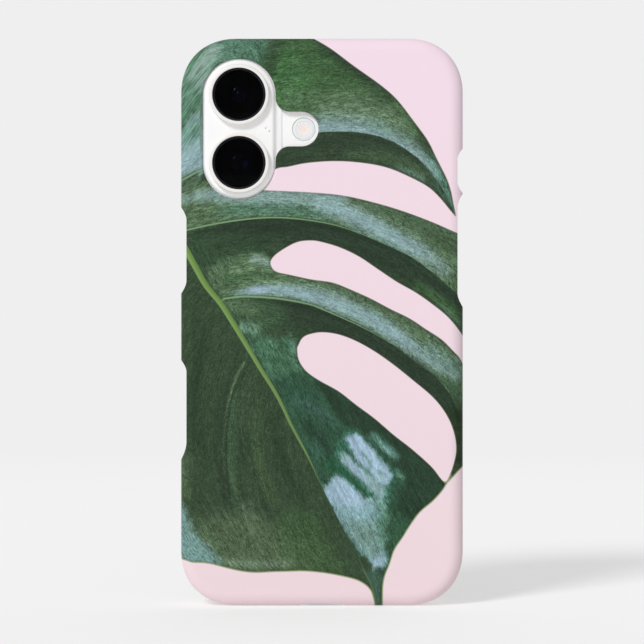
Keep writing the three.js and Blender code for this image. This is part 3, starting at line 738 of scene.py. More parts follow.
class Painting:
    """Two coats: one for the points left of a rib and one for those right of it."""

    def __init__(self, at):
        self.at = at
        x, z = at.T
        self.loose = at + 0.24 * np.column_stack([
            np.sin(1.1 * z + 0.6 * x) + np.sin(2.3 * x - 1.3 * z + 1) + 0.5 * np.sin(3.7 * z + 2),
            np.sin(1.3 * x - 0.5 * z + 2) + np.sin(1.9 * z + 1.6 * x) + 0.5 * np.sin(3.3 * x)])
        self.coats = np.tile(np.array(TONES["bottle"]) / 255, (2, len(at), 1))

    def lay(self, colour, near, cover):
        tone = np.array(TONES.get(colour, colour) if isinstance(colour, str) else colour) / 255
        cover = np.broadcast_to(np.clip(cover, 0, 1), (2, len(near)))[..., None]
        self.coats[:, near] += (tone - self.coats[:, near]) * cover

    def follow(self, line, reach):
        line = smooth_line(line, 1.5)
        near = within(line, self.at, reach)
        gap, share, past = beside(line, self.at[near])
        return near, gap, share, past, np.hypot(*np.diff(line, axis=0).T).sum()

    def fade(self, share, length, ends):
        cover = np.ones(len(share))
        for end, from_end in zip(ends, (share * length, (1 - share) * length)):
            if end:
                cover *= ease(from_end / end)
        return cover

    def band(self, colour, line, above=None, below=None, strength=1, ends=(0, 0), power=1.0):
        """Light or dark that starts hard at a rib and dies away on one side of it."""
        wide = above if above is not None else below
        near, gap, share, past, length = self.follow(line, max(wide) + 2)
        way = 1 if above is not None else -1
        cover = ease(1 - np.maximum(way * gap, 0) / np.maximum(keyed(wide, share), 1e-3)) ** power
        cover = cover * keyed(strength, share) * ease(1 - past / 1.5) * self.fade(share, length, ends)
        own_side = np.array([gap > -1, gap > 1]) if way > 0 else np.array([gap <= -1, gap <= 1])
        self.lay(colour, near, cover * own_side)

    def stroke(self, colour, line, width, strength=1, ends=(3, 3)):
        """A soft brush mark, as wide as the listed half-widths."""
        near, gap, share, past, length = self.follow(line, 2 * max(np.atleast_1d(width)))
        cover = ease(1 - np.abs(gap) / (2 * keyed(width, share)))
        cover = cover * keyed(strength, share) * (past <= 0.01) * self.fade(share, length, ends)
        self.lay(colour, near, cover)

    def patch(self, colour, outline, soft=1.0, strength=1.0):
        """A filled shape with a soft edge."""
        outline = smooth_line(list(outline) + [outline[0]], 1.2)[:-1]
        near = within(outline, self.at, soft + 1)
        self.lay(colour, near, ease(edge_gap(outline, self.loose[near]) / soft + 0.5) * strength)


art = Painting(at)
print("tones:", len(TONES))

# %% Paint: first lobe, above its rib
art.patch("leaf", [(-16, 156), (6, 152), (16, 140), (27, 128), (20, 124), (8, 128), (-4, 130), (-16, 128)],
    soft=4)
art.patch("bright", [(-14, 147), (-7, 147), (-3, 140), (-5, 134), (-14, 128)], soft=6, strength=0.9)
art.patch("dusk", [(-15, 156), (-10, 153), (-11.5, 147), (-14, 141), (-17, 150)], soft=3, strength=0.6)
art.stroke("moss", [(-12, 134), (0, 134), (10, 134.2), (18, 131.5), (25, 126)], [3, 3, 3.4, 3, 2.4], [0.5,
    0.6, 0.9, 0.9, 0.7])
art.stroke("sage", [(-2, 131), (6, 131), (14, 130.4), (20, 127.6), (26, 122)], [2.6, 2.8, 2.6, 2, 1.6],
    [0.9, 0.9, 0.8, 0.7, 0.5])
art.stroke("dusk", [(-3, 151), (5, 145.6), (13, 139.6), (20, 133.2)], [1.6], [0.5, 0.8, 0.8, 0.4])

# %% Paint: left of the camera
art.patch((94, 130, 110), [(-46, 162), (-24, 158), (-19, 150), (-20, 142), (-28, 136), (-46, 118)], soft=7)
art.patch("jade", [(-25, 158), (-15, 156), (-15.5, 146), (-20, 143), (-27, 149)], soft=5, strength=0.8)
art.stroke((146, 168, 160), [(-37, 139), (-33, 143), (-29, 147.5), (-26, 151)], [1.6], [0.5, 0.8, 0.8, 0.3])
art.stroke((150, 172, 166), [(-34, 136), (-31, 139.5), (-27, 143)], [1.6], [0.3, 0.9, 0.6])
art.stroke((70, 118, 84), [(-37.5, 141), (-35, 146), (-31, 150.5)], [1.5], [0.8, 0.8, 0.4])
art.band((68, 106, 80), RIB_A, above=[5, 5, 4, 2], strength=[1, 0.95, 0.7, 0.2], ends=(0, 3))
art.patch("sea", [(-46, 112), (-38, 125.6), (-31, 134), (-27, 128), (-28, 118), (-38, 112.6)], soft=1.2)
art.patch("ice", [(-46, 110), (-38, 120.5), (-31, 123), (-28, 118), (-38, 112.6)], soft=3)
art.stroke("jade", [(-38, 123.6), (-34, 126.4), (-31, 129.6)], [1.5], [0.5, 0.7, 0.5])

# %% Paint: rib 1: sheen above, dark below
art.band("ice", RIB_1, above=[3, 3, 3, 5, 5.6, 6, 6.4, 6, 5.5, 4.4, 3.4, 2.6, 1.5], strength=[0, 0, 0, 1, 1,
    1, 0.95, 0.9, 0.85, 0.8, 0.8, 0.6, 0.2], power=0.7)
art.patch((76, 112, 94), [(28.5, 121), (32, 116), (35, 106.5), (35.5, 104), (32, 108.6), (29, 113)],
    soft=2.5, strength=0.8)
art.stroke("sea", [(26, 119.6), (29, 116.8), (32, 112.4)], [1.1, 1.2, 0.7], [0.7, 0.9, 0.6])
art.band("dusk", RIB_1, below=[6, 6, 6, 9, 9, 9, 9, 9, 9, 8, 6, 4, 3], strength=[0, 0, 0, 1, 1, 1, 1, 1,
    0.9, 0.7, 0.6, 0.5, 0.4], power=0.3)
art.stroke((66, 88, 62), [(4, 119.6), (12, 119.8), (19, 118.4), (25, 115.6), (29.5, 112.4)], [1.6], [0.5,
    0.7, 0.8, 0.8, 0.6])
art.stroke((102, 132, 120), [(18, 117.4), (24, 115), (28.5, 112.2)], [0.8], [0.3, 0.8, 0.6])

# %% Paint: second lobe, above its rib
art.patch("moss", [(-46, 113.4), (-36, 113.2), (-28, 113), (-14, 112), (4, 111), (22, 106), (44, 97), (44,
    80), (34, 84.4), (26, 91.3), (14, 97.4), (4, 101), (-8, 103), (-22, 102.6), (-46, 98)], soft=1.0)
art.stroke((76, 100, 78), [(-41, 111), (-36, 113), (-31, 114.8)], [1.6], [1])
art.patch((126, 152, 146), [(-46, 109.5), (-38, 109), (-30, 111), (-20, 112), (-6, 111), (4, 110.4), (6,
    107.6), (-6, 106.2), (-18, 106.4), (-30, 107.4), (-38, 107)], soft=2.4)
art.stroke("jade", [(-30, 105), (-20, 105.2), (-10, 105.2), (-2, 104.4), (5, 102)], [1.6, 1.6, 1.6, 1.6, 1],
    [0.3, 0.8, 0.8, 0.7, 0.4])
art.stroke("moss", [(-42, 104.5), (-34, 105), (-26, 105)], [2.2], [1, 1, 0.6])
art.stroke("ice", [(-4, 107), (4, 105.6), (10, 102.8), (15, 100.2), (20, 97.4), (25, 94.8), (30, 91.4), (35,
    87)], [1.7, 2.1, 2.3, 2.4, 2.3, 2.2, 1.9, 1.5], [0.5, 0.95, 1, 0.95, 0.95, 0.9, 0.6, 0.35])
art.stroke((92, 122, 112), [(12, 98.9), (17, 96.6), (22, 94.2)], [0.7], [0.3, 0.6, 0.3])
art.stroke((88, 116, 106), [(6, 101.6), (11, 99.8), (15, 98.3)], [0.8], [0.5, 0.5, 0.2])
art.stroke((74, 98, 74), [(10, 108), (18, 105.3), (26, 102), (36, 97.4)], [1.5], [0.5, 0.8, 0.9, 0.9])
art.stroke((62, 82, 58), [(26, 99.8), (31, 97.4), (37, 93.6)], [1.6], [0.4, 0.8, 0.8])

# %% Paint: below rib 2: near-black green, then mid green to the midrib
art.band("deep", RIB_2, below=[9, 9, 9, 9, 8.5, 8, 8, 8, 8, 8, 8, 8, 8, 8, 8], strength=[0.5, 0.55, 0.7,
    0.85, 1, 1, 1, 1, 1, 1, 1, 0.95, 0.9, 0.9, 0.9], power=0.35)
art.patch((52, 74, 52), [(-46, 99), (-30, 98.6), (-22, 98), (-13, 94), (-17, 89), (-28, 88), (-36, 92)],
    soft=4, strength=0.85)
art.stroke("leaf", [(23, 86.2), (28, 83.4), (33, 79.8), (38, 75)], [1.4], [0.4, 0.8, 0.9, 0.9])
art.stroke((72, 100, 76), [(29, 81.6), (33.4, 78.2), (38, 73)], [0.8], [0.5, 0.9, 0.9])

# %% Paint: third lobe, above its rib
art.patch("moss", [(-31, 89.5), (-25, 92.5), (-16, 94), (-12.6, 90), (-6, 88), (6, 85.6), (20, 79), (34,
    69.6), (44, 60), (44, 54), (36, 55), (26, 65), (12, 74), (0, 80), (-12, 82.3), (-26, 82.4)], soft=1.4,
    strength=0.9)
art.stroke((100, 126, 94), [(-26, 89), (-20, 88.6), (-14, 87.6), (-7, 85.6)], [3], [0.5, 0.9, 0.8, 0.4])
art.stroke((70, 96, 68), [(-29, 90.5), (-24, 91.6), (-19, 92.2)], [1.2], [0.6, 0.8, 0.4])
art.stroke((64, 92, 62), [(-28, 86), (-22, 87.3), (-15, 88.3), (-8, 86.8)], [1.0], [0.8, 0.9, 0.8, 0.3])
art.stroke((124, 150, 142), [(-20, 92.2), (-16.5, 92.2), (-14.2, 90.8), (-14.5, 89.2)], [1.0], [0.4, 0.8,
    0.8, 0.3], ends=(1, 1))
art.stroke("ice", [(-25, 82.6), (-20, 83.6), (-14, 84.2), (-8, 83.6), (0, 81.7), (8, 78.7), (14, 75.8), (20,
    71.8), (26, 67.4), (32, 63.4), (38, 59)], [0.5, 1.1, 1.5, 2, 2.3, 2.1, 2.1, 2, 1.7, 1.6, 1.5], [0.5,
    0.95, 1, 1, 0.95, 0.95, 1, 0.95, 0.8, 0.75, 0.4])
art.stroke("glare", [(-21, 83.5), (-17, 84.1), (-12, 84)], [0.9], [0.6, 0.7, 0.3])
art.stroke((98, 128, 118), [(26, 70.2), (30, 67.6), (35, 64), (39, 60)], [1.8], [0.6, 0.8, 0.7, 0.5])
art.stroke((76, 98, 74), [(6, 84.2), (14, 80.8), (22, 76.6), (30, 71.6), (36, 66)], [1.2], [0.4, 0.9, 0.9,
    0.8, 0.5])
art.stroke((62, 88, 64), [(30, 62), (34, 59), (38, 54.4)], [1.6], [0.3, 0.9, 0.9])

# %% Paint: below rib 3
art.band("deep", RIB_3, below=[8, 8, 8, 8, 8, 8, 8, 8, 8, 8, 8, 8], strength=[0.1, 0.3, 0.7, 1, 1, 1, 1, 1,
    1, 1, 1, 0.9], power=0.35, ends=(4, 0))
art.patch((62, 88, 62), [(-29, 82), (-22, 81.4), (-13, 81), (-10, 77), (-14, 73), (-24, 74)], soft=4,
    strength=0.8)
art.stroke("moss", [(-26, 80), (-21, 79.4), (-15, 78.2)], [1.6], [0.9, 0.9, 0.5], ends=(1, 2))
art.stroke("mint", [(-22.5, 74.5), (-18.5, 73.6), (-15, 73)], [1.5], [1, 0.8, 0.3], ends=(1, 2))
art.patch((70, 108, 84), [(-20, 72), (-12, 71.4), (-7.6, 71), (-6.6, 66), (-4.6, 61), (-10, 58.6), (-14.6,
    61.4)], soft=3, strength=0.95)
art.stroke((100, 138, 124), [(-9, 71), (-7.6, 69.4), (-7.2, 66.6)], [0.7], [0.6, 0.8, 0.5], ends=(1, 1))
art.stroke((44, 72, 54), [(-15, 67), (-11, 65.2), (-7, 63)], [0.9], [0.3, 0.6, 0.3])
art.stroke((44, 72, 54), [(-13, 71), (-10, 69.6), (-8, 67)], [0.6], [0.3, 0.6, 0.3])
art.patch((34, 52, 30), [(30, 54), (36, 52), (44, 52), (44, 38), (37, 37.5), (35.6, 39), (35.9, 44), (34.4,
    49.6)], soft=2, strength=0.9)

# %% Paint: last lobe
art.patch("pine", [(-13, 60), (-4, 62), (10, 54), (24, 42), (33, 32.4), (20, 14), (12, 8), (4, 22), (-4,
    38), (-9, 50)], soft=2.2)
art.patch((39, 60, 44), [(-2, 60), (6, 56), (20, 45), (33, 32.4), (26, 24), (19.5, 26), (21.5, 34), (12,
    44.6), (4, 50.6)], soft=2.5, strength=0.9)
art.patch((48, 80, 58), [(17, 27), (22, 22), (20, 14), (17, 10), (16, 20)], soft=3, strength=0.8)
art.stroke((60, 92, 80), [(-9, 55.2), (-4, 53.8), (0, 51.2), (4, 47.8)], [1.5], [0.7, 0.9, 0.8, 0.5])
art.stroke((38, 62, 48), [(-6, 50), (-3, 47), (1, 43), (4, 39.5)], [1.3], [0.5, 0.8, 0.8, 0.5])
art.stroke((62, 100, 84), [(-3, 45.5), (-1.6, 42), (0.6, 38)], [1.0], [0.5, 0.8, 0.8])
art.stroke((92, 136, 124), [(12, 46.4), (15.4, 43.6), (18.4, 41), (21, 38.6)], [1.0], [0.5, 0.9, 0.9, 0.5],
    ends=(1.5, 1.5))
art.stroke((116, 156, 148), [(14.4, 44), (17.4, 41.4), (19.8, 39.4)], [0.5], [0.5, 0.9, 0.5], ends=(1.5,
    1.5))
art.stroke((88, 130, 116), [(18.8, 36.6), (20.6, 34.8), (22.4, 33.2)], [0.7], [0.8, 0.8, 0.4], ends=(1, 1))
art.patch((60, 108, 88), [(3, 42), (7, 47), (9.4, 46.4), (16.4, 38.6), (18.8, 36), (18.4, 30), (16.6, 27.6),
    (10, 31), (6, 35)], soft=2.4, strength=0.9)
art.patch("glare", [(6.4, 45.2), (9.3, 45.8), (12.8, 42.4), (16.2, 38.4), (18.3, 35.8), (17.4, 32.8), (15.2,
    33), (12.6, 35.6), (9.3, 38.6), (7.8, 41.6)], soft=1.4, strength=0.95)
art.stroke((96, 136, 130), [(9.8, 41.2), (12, 39.4), (13, 37), (11.4, 36.6)], [0.45], [0.6, 0.8, 0.7, 0.3],
    ends=(1, 1))
art.stroke((88, 130, 120), [(14.4, 36.4), (16, 35), (17.4, 34.6)], [0.45], [0.5, 0.7, 0.4], ends=(1, 1))
art.patch("ice", [(4.9, 41), (6.3, 40.4), (10.5, 36.8), (14.5, 33.4), (16.6, 31.2), (16.2, 28.6), (13.9,
    29.4), (10.5, 32.8), (7.1, 36.2), (5, 38.8)], soft=1.6, strength=0.92)
art.patch("ice", [(10, 38.6), (13, 35.6), (17, 33.6), (17, 31), (13, 33), (9.4, 37)], soft=1.6,
    strength=0.6)
art.patch("glare", [(6.4, 39.6), (8, 38.8), (12, 34.8), (11, 33.4), (8, 36)], soft=1.2, strength=0.7)
art.stroke((58, 104, 84), [(7.6, 39.8), (10.6, 37), (14.2, 33.8)], [0.35], [0.9, 0.7, 0.2], ends=(1, 2))
art.patch((132, 166, 172), [(0.2, 31.8), (2.5, 33.6), (4.5, 35.8), (6.5, 34.6), (9.1, 31.6), (11.6, 28.9),
    (16.6, 28.2), (16.8, 25.4), (15.4, 22.4), (15.8, 18.2), (17.3, 13), (16.4, 9.8), (13.1, 9.8), (12.4,
    12.4), (10.2, 14.6), (7.9, 17.6), (4.8, 22.6), (1.4, 27.4)], soft=1.8, strength=0.95)
art.patch("glare", [(0.8, 31.6), (3, 33.2), (4.8, 35), (6.8, 33.6), (9, 31), (11.4, 28), (9, 26.4), (5, 27),
    (2, 29)], soft=2.0, strength=0.8)
art.patch((104, 134, 122), [(5.8, 23), (12, 22.4), (15.4, 22), (16.2, 15), (13, 13.6), (9.6, 16)], soft=4,
    strength=0.8)
art.patch((88, 128, 110), [(14, 28), (17.4, 28), (17.6, 22), (16.8, 17), (15, 18)], soft=2.4, strength=0.7)
art.stroke((36, 80, 56), [(0.6, 39), (4.2, 36.4), (7.6, 33.7), (10.6, 31), (14, 28.9)], [1.5, 1.2, 0.9, 0.8,
    0.5], [0.8, 1, 1, 0.95, 0.4], ends=(1, 1.5))
art.stroke("glare", [(13.6, 12.4), (15, 11.6), (16.8, 11)], [1.2], [0.7, 0.9, 0.6], ends=(1, 1))
art.patch((60, 88, 72), [(10.6, 10.6), (13, 9.6), (16.6, 9.2), (17, -6), (13, -6), (12, 4.6)], soft=1.6)

# %% Paint: left half of the blade
art.band("bottle", MIDRIB, below=[60], power=0.2)
art.patch("bottle", [(-46, 100), (-36, 94), (-27, 80.4), (-19.6, 68), (-11, 54), (-4, 39.6), (0, 31), (4.4,
    22), (8, 15), (10, 9.4), (-46, 8)], soft=0.8)
art.band((66, 92, 66), LEFT_RIB, above=[2, 4, 5, 5, 5, 4, 3], strength=[0.2, 0.7, 0.8, 0.8, 0.8, 0.6, 0.4])
art.band((44, 60, 44), LEFT_RIB, below=[2, 3, 3.4, 3.6, 3.6, 3, 2], strength=[0.3, 0.8, 0.9, 0.9, 0.9, 0.8,
    0.3])
art.stroke((98, 122, 88), LEFT_RIB, [0.24], [0.9, 0.8, 0.6, 0.4, 0.25, 0.1, 0], ends=(0.4, 3))
art.stroke((72, 94, 66), [(-37.5, 42), (-37, 34), (-36, 27)], [1.8], [0.8, 0.8, 0.6])
art.stroke((88, 106, 82), [(-21, 29), (-19, 23), (-15, 16)], [1.8], [0.6, 0.8, 0.5])
art.patch((84, 104, 76), [(-34, 22), (-24, 25), (-12, 21), (0, 14), (-4, 9), (-20, 8.6), (-34, 12)], soft=7,
    strength=0.75)
art.patch((64, 90, 56), [(-12, 24), (-4, 26), (4, 14), (6, 9), (-8, 10)], soft=5, strength=0.6)
art.stroke((66, 88, 58), [(-17, 58), (-17.4, 46), (-16, 36), (-12, 26)], [1.3], [0.2, 0.6, 0.7, 0.5])
art.stroke((42, 60, 40), [(-12.6, 54), (-12, 44), (-8.4, 34), (-3, 24)], [1.2], [0.5, 0.7, 0.7, 0.4])
art.stroke((42, 58, 40), [(-31.4, 78), (-33, 64), (-33.4, 52), (-33, 40)], [1.8], [0.3, 0.6, 0.7, 0.5])
art.patch((114, 148, 144), [(-46, 30), (-38, 27.6), (-34, 20), (-29, 14.6), (-28, 10), (-46, 10)], soft=3.5,
    strength=0.95)
art.stroke((110, 130, 106), [(-27, 12.6), (-20, 11.2), (-12, 11.4), (-6, 11.6)], [1.1], [0.8, 0.8, 0.6,
    0.4])
print("mean tone of the two coats:", (255 * art.coats.mean((0, 1))).round())

# %% Widths of the light lines along the ribs, and the run of the small veins
midrib_gap, midrib_share, _ = measured[4]
midrib_half = np.interp(midrib_share, [0, 0.1, 0.25, 0.4, 0.5, 0.56, 0.63, 0.7, 0.84, 0.88, 0.95, 1],
                        [0.95, 0.8, 0.66, 0.5, 0.38, 0.3, 0.17, 0.03, 0, 0.15, 0.15, 0.1])
RIB_LINES = [
    [0.0, 0.05, 0.1, 0.1],
    [0.2, 0.2, 0.16, 0.08, 0.02, 0, 0, 0],
    [0.16, 0.2, 0.2, 0.17, 0.12, 0.06, 0.02, 0, 0, 0],
    [0.24, 0.24, 0.19, 0.12, 0.05, 0, 0, 0],
]
rib_half = np.zeros(len(at))
for index, widths in enumerate(RIB_LINES):
    mine = closest == index
    rib_half[mine] = keyed(widths, measured[index][1][mine])
margin_light = np.full(len(at), 0.12)
for line in (LOWER_MARGIN, FOOT_MARGIN):
    margin_light[np.abs(beside(smooth_line(line), at)[0]) < 1.2] = 0.85
side_gap = np.where(closest == 4, midrib_gap, rib_gap)
vein_across = at[:, 0] - 0.01 * (at[:, 1] - 45) ** 2
right_half = midrib_gap > 0
vein_run = np.column_stack([np.where(right_half, side_gap, vein_across),
                            np.where(right_half, at[:, 0] * 0.8 - at[:, 1] * 0.4, at[:, 1]),
                            np.where(right_half, 7.0, 0.0)])


def linear(colour):
    colour = np.clip(colour, 0, 1)
    return np.where(colour <= 0.04045, colour / 12.92, ((colour + 0.055) / 1.055) ** 2.4)


for name, values in {
        "lit": linear(art.coats[0]), "shaded": linear(art.coats[1]), "blade_gap": blade_gap,
        "rib_gap": rib_gap, "rib_half": rib_half, "midrib_gap": midrib_gap, "midrib_half": midrib_half,
        "margin_light": margin_light, "vein_run": vein_run,
        "print_at": np.column_stack([at, np.zeros(len(at))])}.items():
    kind, field = ("FLOAT", "value") if values.ndim == 1 else ("FLOAT_VECTOR", "vector")
    layer = printed_case.data.attributes.new(name, kind, "POINT")
    layer.data.foreach_set(field, values.ravel())

# %% [markdown]
# The ink is a thin satin layer. Its shader reads the painted tones, then adds what a brush cannot:
# fine streaks that run with the veins, a slight mottle in the light parts, and the thin bright
# lines of the ribs, which stay crisp because they are drawn from a distance and not from points.
# Last it paints shade onto the rolled edges that turn away from the sun.

# %% Short names for shader sums
def maths(operation, a, b=0.0, c=0.0):
    return node("Math", {0: a, 1: b, 2: c}, operation=operation)


def times(a, b):
    return maths("MULTIPLY", a, b)


def mix(factor, a, b):
    a, b = (tone if isinstance(tone, bpy.types.NodeSocket) else (*tone, 1) for tone in (a, b))
    return node("Mix", {0: factor, 6: a, 7: b}, 2, data_type="RGBA")


def scaled(colour, by):
    return node("VectorMath", {0: colour, "Scale": by}, operation="SCALE")


def reading(name, output="Fac"):
    return node("Attribute", output=output, attribute_name=name)


def noise(vector, scale, detail=2.0, roughness=0.5, distortion=0.0):
    return node("TexNoise", {"Vector": vector, "Scale": scale, "Detail": detail,
                             "Roughness": roughness, "Distortion": distortion}, "Fac")


def stretched(vector, scale):
    return node("Mapping", {"Vector": vector, "Scale": scale})


def spread(value, low, high, to_low=0.0, to_high=1.0):
    return node("MapRange", {"Value": value, "From Min": low, "From Max": high,
                             "To Min": to_low, "To Max": to_high})


def distance_from(x, z, wide=1.0, high=1.0):
    """Distance from a front-to-back line through x, z, where 1 is wide or high millimetres."""
    off = node("VectorMath", {0: position(), 1: (x * MM, 0, z * MM)}, operation="SUBTRACT")
    off = node("VectorMath", {0: off, 1: (1 / (wide * MM), 0, 1 / (high * MM))}, operation="MULTIPLY")
    return node("VectorMath", {0: off}, "Value", operation="LENGTH")


def srgb(r, g, b):
    return tuple(float(v) for v in linear(np.array([r, g, b]) / 255))


def bump(height, strength, distance):
    return node("Bump", {"Height": height, "Strength": strength, "Distance": distance})


def principled(inputs):
    surface(node("BsdfPrincipled", inputs))

# %% The printed finish
PRINT_EDGE = 0.12  # millimetres over which the ink changes
tree = shell_material.node_tree
flat_at = reading("print_at", "Vector")
run = reading("vein_run", "Vector")
rib = reading("rib_gap")
paint = mix(spread(rib, -PRINT_EDGE, PRINT_EDGE), reading("shaded", "Vector"), reading("lit", "Vector"))


def along_veins(across, along, *rest):
    """Noise that follows the small veins, with its rate of change across and along them."""
    return noise(stretched(run, (across, along, 1)), 1.0, *rest)


streak = along_veins(1.5, 0.13, 4, 0.6)
broad_streak = along_veins(0.5, 0.06, 3, 0.6, 0.4)
hair_streak = along_veins(6.5, 0.4, 2, 0.6)
wrinkle = along_veins(1.1, 0.7, 5, 0.75, 1.2)
fuzz = along_veins(3.6, 2.0, 2, 0.6, 0.5)
crease = along_veins(0.5, 0.32, 4, 0.65, 1.0)
mottle = noise(flat_at, 1.1, 3, 0.65)
grain = noise(flat_at, 6.0, 1, 0.5)
sheen = node("RGBToBW", {"Color": paint})
calm = spread(sheen, 0.18, 0.42, 1.0, 0.35)
crumple = times(spread(sheen, 0.03, 0.12, 0.18, 0.46), calm)
folds = maths("MULTIPLY_ADD", spread(wrinkle, 0.36, 0.64, -1, 1), crumple, 1.04)
crease = spread(maths("ABSOLUTE", maths("SUBTRACT", crease, 0.5)), 0.0, 0.03, -1.1, 0)
folds = maths("MULTIPLY_ADD", crease, crumple, folds)
glint = times(spread(hair_streak, 0.55, 0.66), spread(sheen, 0.03, 0.11, 0.05, 0.6))
glint = times(glint, spread(sheen, 0.15, 0.4, 1.0, 0.2))
depth = times(spread(streak, 0.3, 0.7, 0.85, 1.15), spread(broad_streak, 0.35, 0.65, 0.86, 1.14))
depth = times(depth, folds)
for fibre, amount in ((hair_streak, 0.22), (fuzz, 0.32)):
    change = maths("MULTIPLY_ADD", spread(fibre, 0.3, 0.7, -1, 1), times(calm, amount), 1.0)
    depth = times(depth, change)
depth = maths("ADD", depth, glint)
depth = times(depth, spread(mottle, 0.3, 0.7, 0.92, 1.08))
depth = times(depth, spread(grain, 0.2, 0.8, 0.94, 1.06))
margin = reading("blade_gap")
paint = scaled(scaled(paint, depth), spread(margin, 0.1, 0.75, 0.62, 1.0))

rib_width, midrib, midrib_width = map(reading, ("rib_half", "midrib_gap", "midrib_half"))
high = node("SeparateXYZ", {0: flat_at}, "Y")
midrib_tone = mix(spread(midrib, -0.4, 0.4), srgb(122, 154, 88), srgb(100, 134, 68))
midrib_tone = mix(spread(high, 20, 75), srgb(102, 126, 82), midrib_tone)
THIN_LINES = [  # distance, half-width, how well it shows, tone
    (maths("SUBTRACT", margin, 0.15), 0.13, reading("margin_light"), srgb(150, 168, 112)),
    (maths("SUBTRACT", rib, 0.32), 0.1, spread(rib_width, 0.02, 0.1, 0.0, 0.7), srgb(38, 58, 42)),
    (rib, rib_width, spread(rib_width, 0.0, 0.08), srgb(122, 156, 114)),
    (midrib, midrib_width, spread(midrib_width, 0.0, 0.25), midrib_tone),
]
for gap, half, shows, tone in THIN_LINES:
    past = maths("SUBTRACT", half, maths("ABSOLUTE", gap))
    paint = mix(times(spread(past, -PRINT_EDGE, PRINT_EDGE), shows), paint, tone)

ground = mix(spread(high, 0.0, HEIGHT), srgb(236, 215, 220), srgb(243, 221, 233))
ground = scaled(ground, spread(grain, 0.2, 0.8, 0.985, 1.015))
ink = mix(spread(margin, -PRINT_EDGE, PRINT_EDGE), ground, paint)
# Painted shade: where the surface turns right and down, away from the sun, the print is darkened, so the
# rolled edges on that side come out darker.
facing = node("NewGeometry", output="Normal")
away_from_light = node("VectorMath", {0: facing, 1: (0.8, 0, -0.6)}, "Value", operation="DOT_PRODUCT")
ink = scaled(ink, spread(away_from_light, 0.05, 0.6, 1.0, 0.87))
principled({"Base Color": ink, "Roughness": 0.42, "Specular IOR Level": 0.12,
            "Normal": bump(noise(flat_at, 9.0, 2, 0.5), 0.02, 0.00004)})
print("shader nodes in the print:", len(tree.nodes))

# %% Bare polycarbonate inside the shell
def solid_finish(colour, roughness, metallic=0.0, speckle=0.04, scale=900.0, relief=0.03, specular=0.5):
    """A plain finish with a little variation in tone, gloss and surface."""
    fine = noise(position(), scale, 3, 0.6)
    dark, light = (tuple(min(c * (1 + change), 1) for c in colour) for change in (-speckle, speckle))
    principled({"Base Color": mix(fine, dark, light), "Metallic": metallic,
                "Roughness": spread(fine, 0.3, 0.7, max(roughness - 0.05, 0.0), roughness + 0.05),
                "Specular IOR Level": specular, "Normal": bump(fine, relief, 0.00005)})


tree = bare_material.node_tree
solid_finish(srgb(232, 228, 226), 0.35)

# %% [markdown]
# ## The back glass and its camera island
# The back of the phone is one sheet of milky glass. Under the camera window it rises in a low foot
# and then in a pill-shaped island, with holes for both lens rings, the microphone and the flash.
# Drawing each level as an outline and joining the levels with strips keeps it one closed piece.

# %% The milky back glass
GLASS_IN = 1.0
GLASS_THICK = 0.85
GLASS_ROUND = 0.35
GLASS_CORNER = 13.15
OUTLINE_STEP = 0.9
ISLAND_TOP = back_low[1]
FOOT_Y = GLASS_BACK_Y - 0.35
FLASH_X, FLASH_Z = middle_mm("flash_window")[[0, 2]]
FLASH_RADIUS = 3.1
MIC_X, MIC_Z = -14.48, 126.7
MIC_RADIUS = 0.8
RING_HOLE = 7.7


def matching_outline(inset):
    """The phone's outline moved in, with the same number of points each time."""
    base, out = soft_rectangle(frame_high[0] - GLASS_IN, frame_low[2] + GLASS_IN, frame_high[2] - GLASS_IN,
                               GLASS_CORNER - GLASS_IN, lambda x, z: OUTLINE_STEP)
    return base - out * (inset - GLASS_IN)


def glass_edge(face_y, inner_y, soft):
    """Outlines down the edge of a glass sheet, from its rounded face to its inner face."""
    way = soft if inner_y > face_y else -soft
    rows = [place(matching_outline(GLASS_IN + soft * left), face_y + way * gone)
            for left, gone in quarter(4)]
    return rows + [place(matching_outline(GLASS_IN), inner_y)]


def circle(radius, x, z, count=72):
    turn = np.linspace(0, 2 * math.pi, count, endpoint=False)
    return np.column_stack([x + radius * np.cos(turn), z + radius * np.sin(turn)])


def island_pill(inset):
    return pill(WINDOW_HALF_WIDTH - inset, WINDOW_HALF_HEIGHT - inset, LENS_X, ISLAND_Z, 48)


island = [  # how far in, and at what depth, from the foot to the flat top
    (-1.66, GLASS_BACK_Y), (-1.6, FOOT_Y + 0.08), (-1.42, FOOT_Y), (-0.8, FOOT_Y - 0.02),
    (-0.3, FOOT_Y - 0.1), (0.02, FOOT_Y - 0.28), (0.22, FOOT_Y - 0.6), (0.38, FOOT_Y - 0.9),
    (0.56, FOOT_Y - 1.13), (0.76, FOOT_Y - 1.26), (0.98, ISLAND_TOP + 0.02), (1.2, ISLAND_TOP),
]
inner_y = GLASS_BACK_Y + GLASS_THICK
edge = glass_edge(GLASS_BACK_Y, inner_y, GLASS_ROUND)
top_holes = [circle(RING_HOLE, LENS_X, z) for z in LENS_Z] + [circle(MIC_RADIUS, MIC_X, MIC_Z)]
flash_hole = circle(FLASH_RADIUS, FLASH_X, FLASH_Z)
sheet = Patches()
sheet.fill(edge[0][:, [0, 2]], [island_pill(island[0][0]), flash_hole], 4, GLASS_BACK_Y)
sheet.strip([place(island_pill(inset), y) for inset, y in island])
sheet.fill(island_pill(island[-1][0]), top_holes, 1.5, ISLAND_TOP)
for hole in top_holes:
    sheet.tunnel(hole, ISLAND_TOP, inner_y)
sheet.tunnel(flash_hole, GLASS_BACK_Y, inner_y)
sheet.strip(edge)
sheet.fill(edge[-1][:, [0, 2]], top_holes + [flash_hole], 5, inner_y)
milky_material = new_finish("milky_glass")
solid_finish(srgb(249, 249, 249), 0.5, speckle=0.01, relief=0.01, specular=0.25)
back_sheet = sheet.piece("back_glass_sheet", [milky_material], sharp=50)
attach(back_sheet, PHONE)
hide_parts("back_glass")

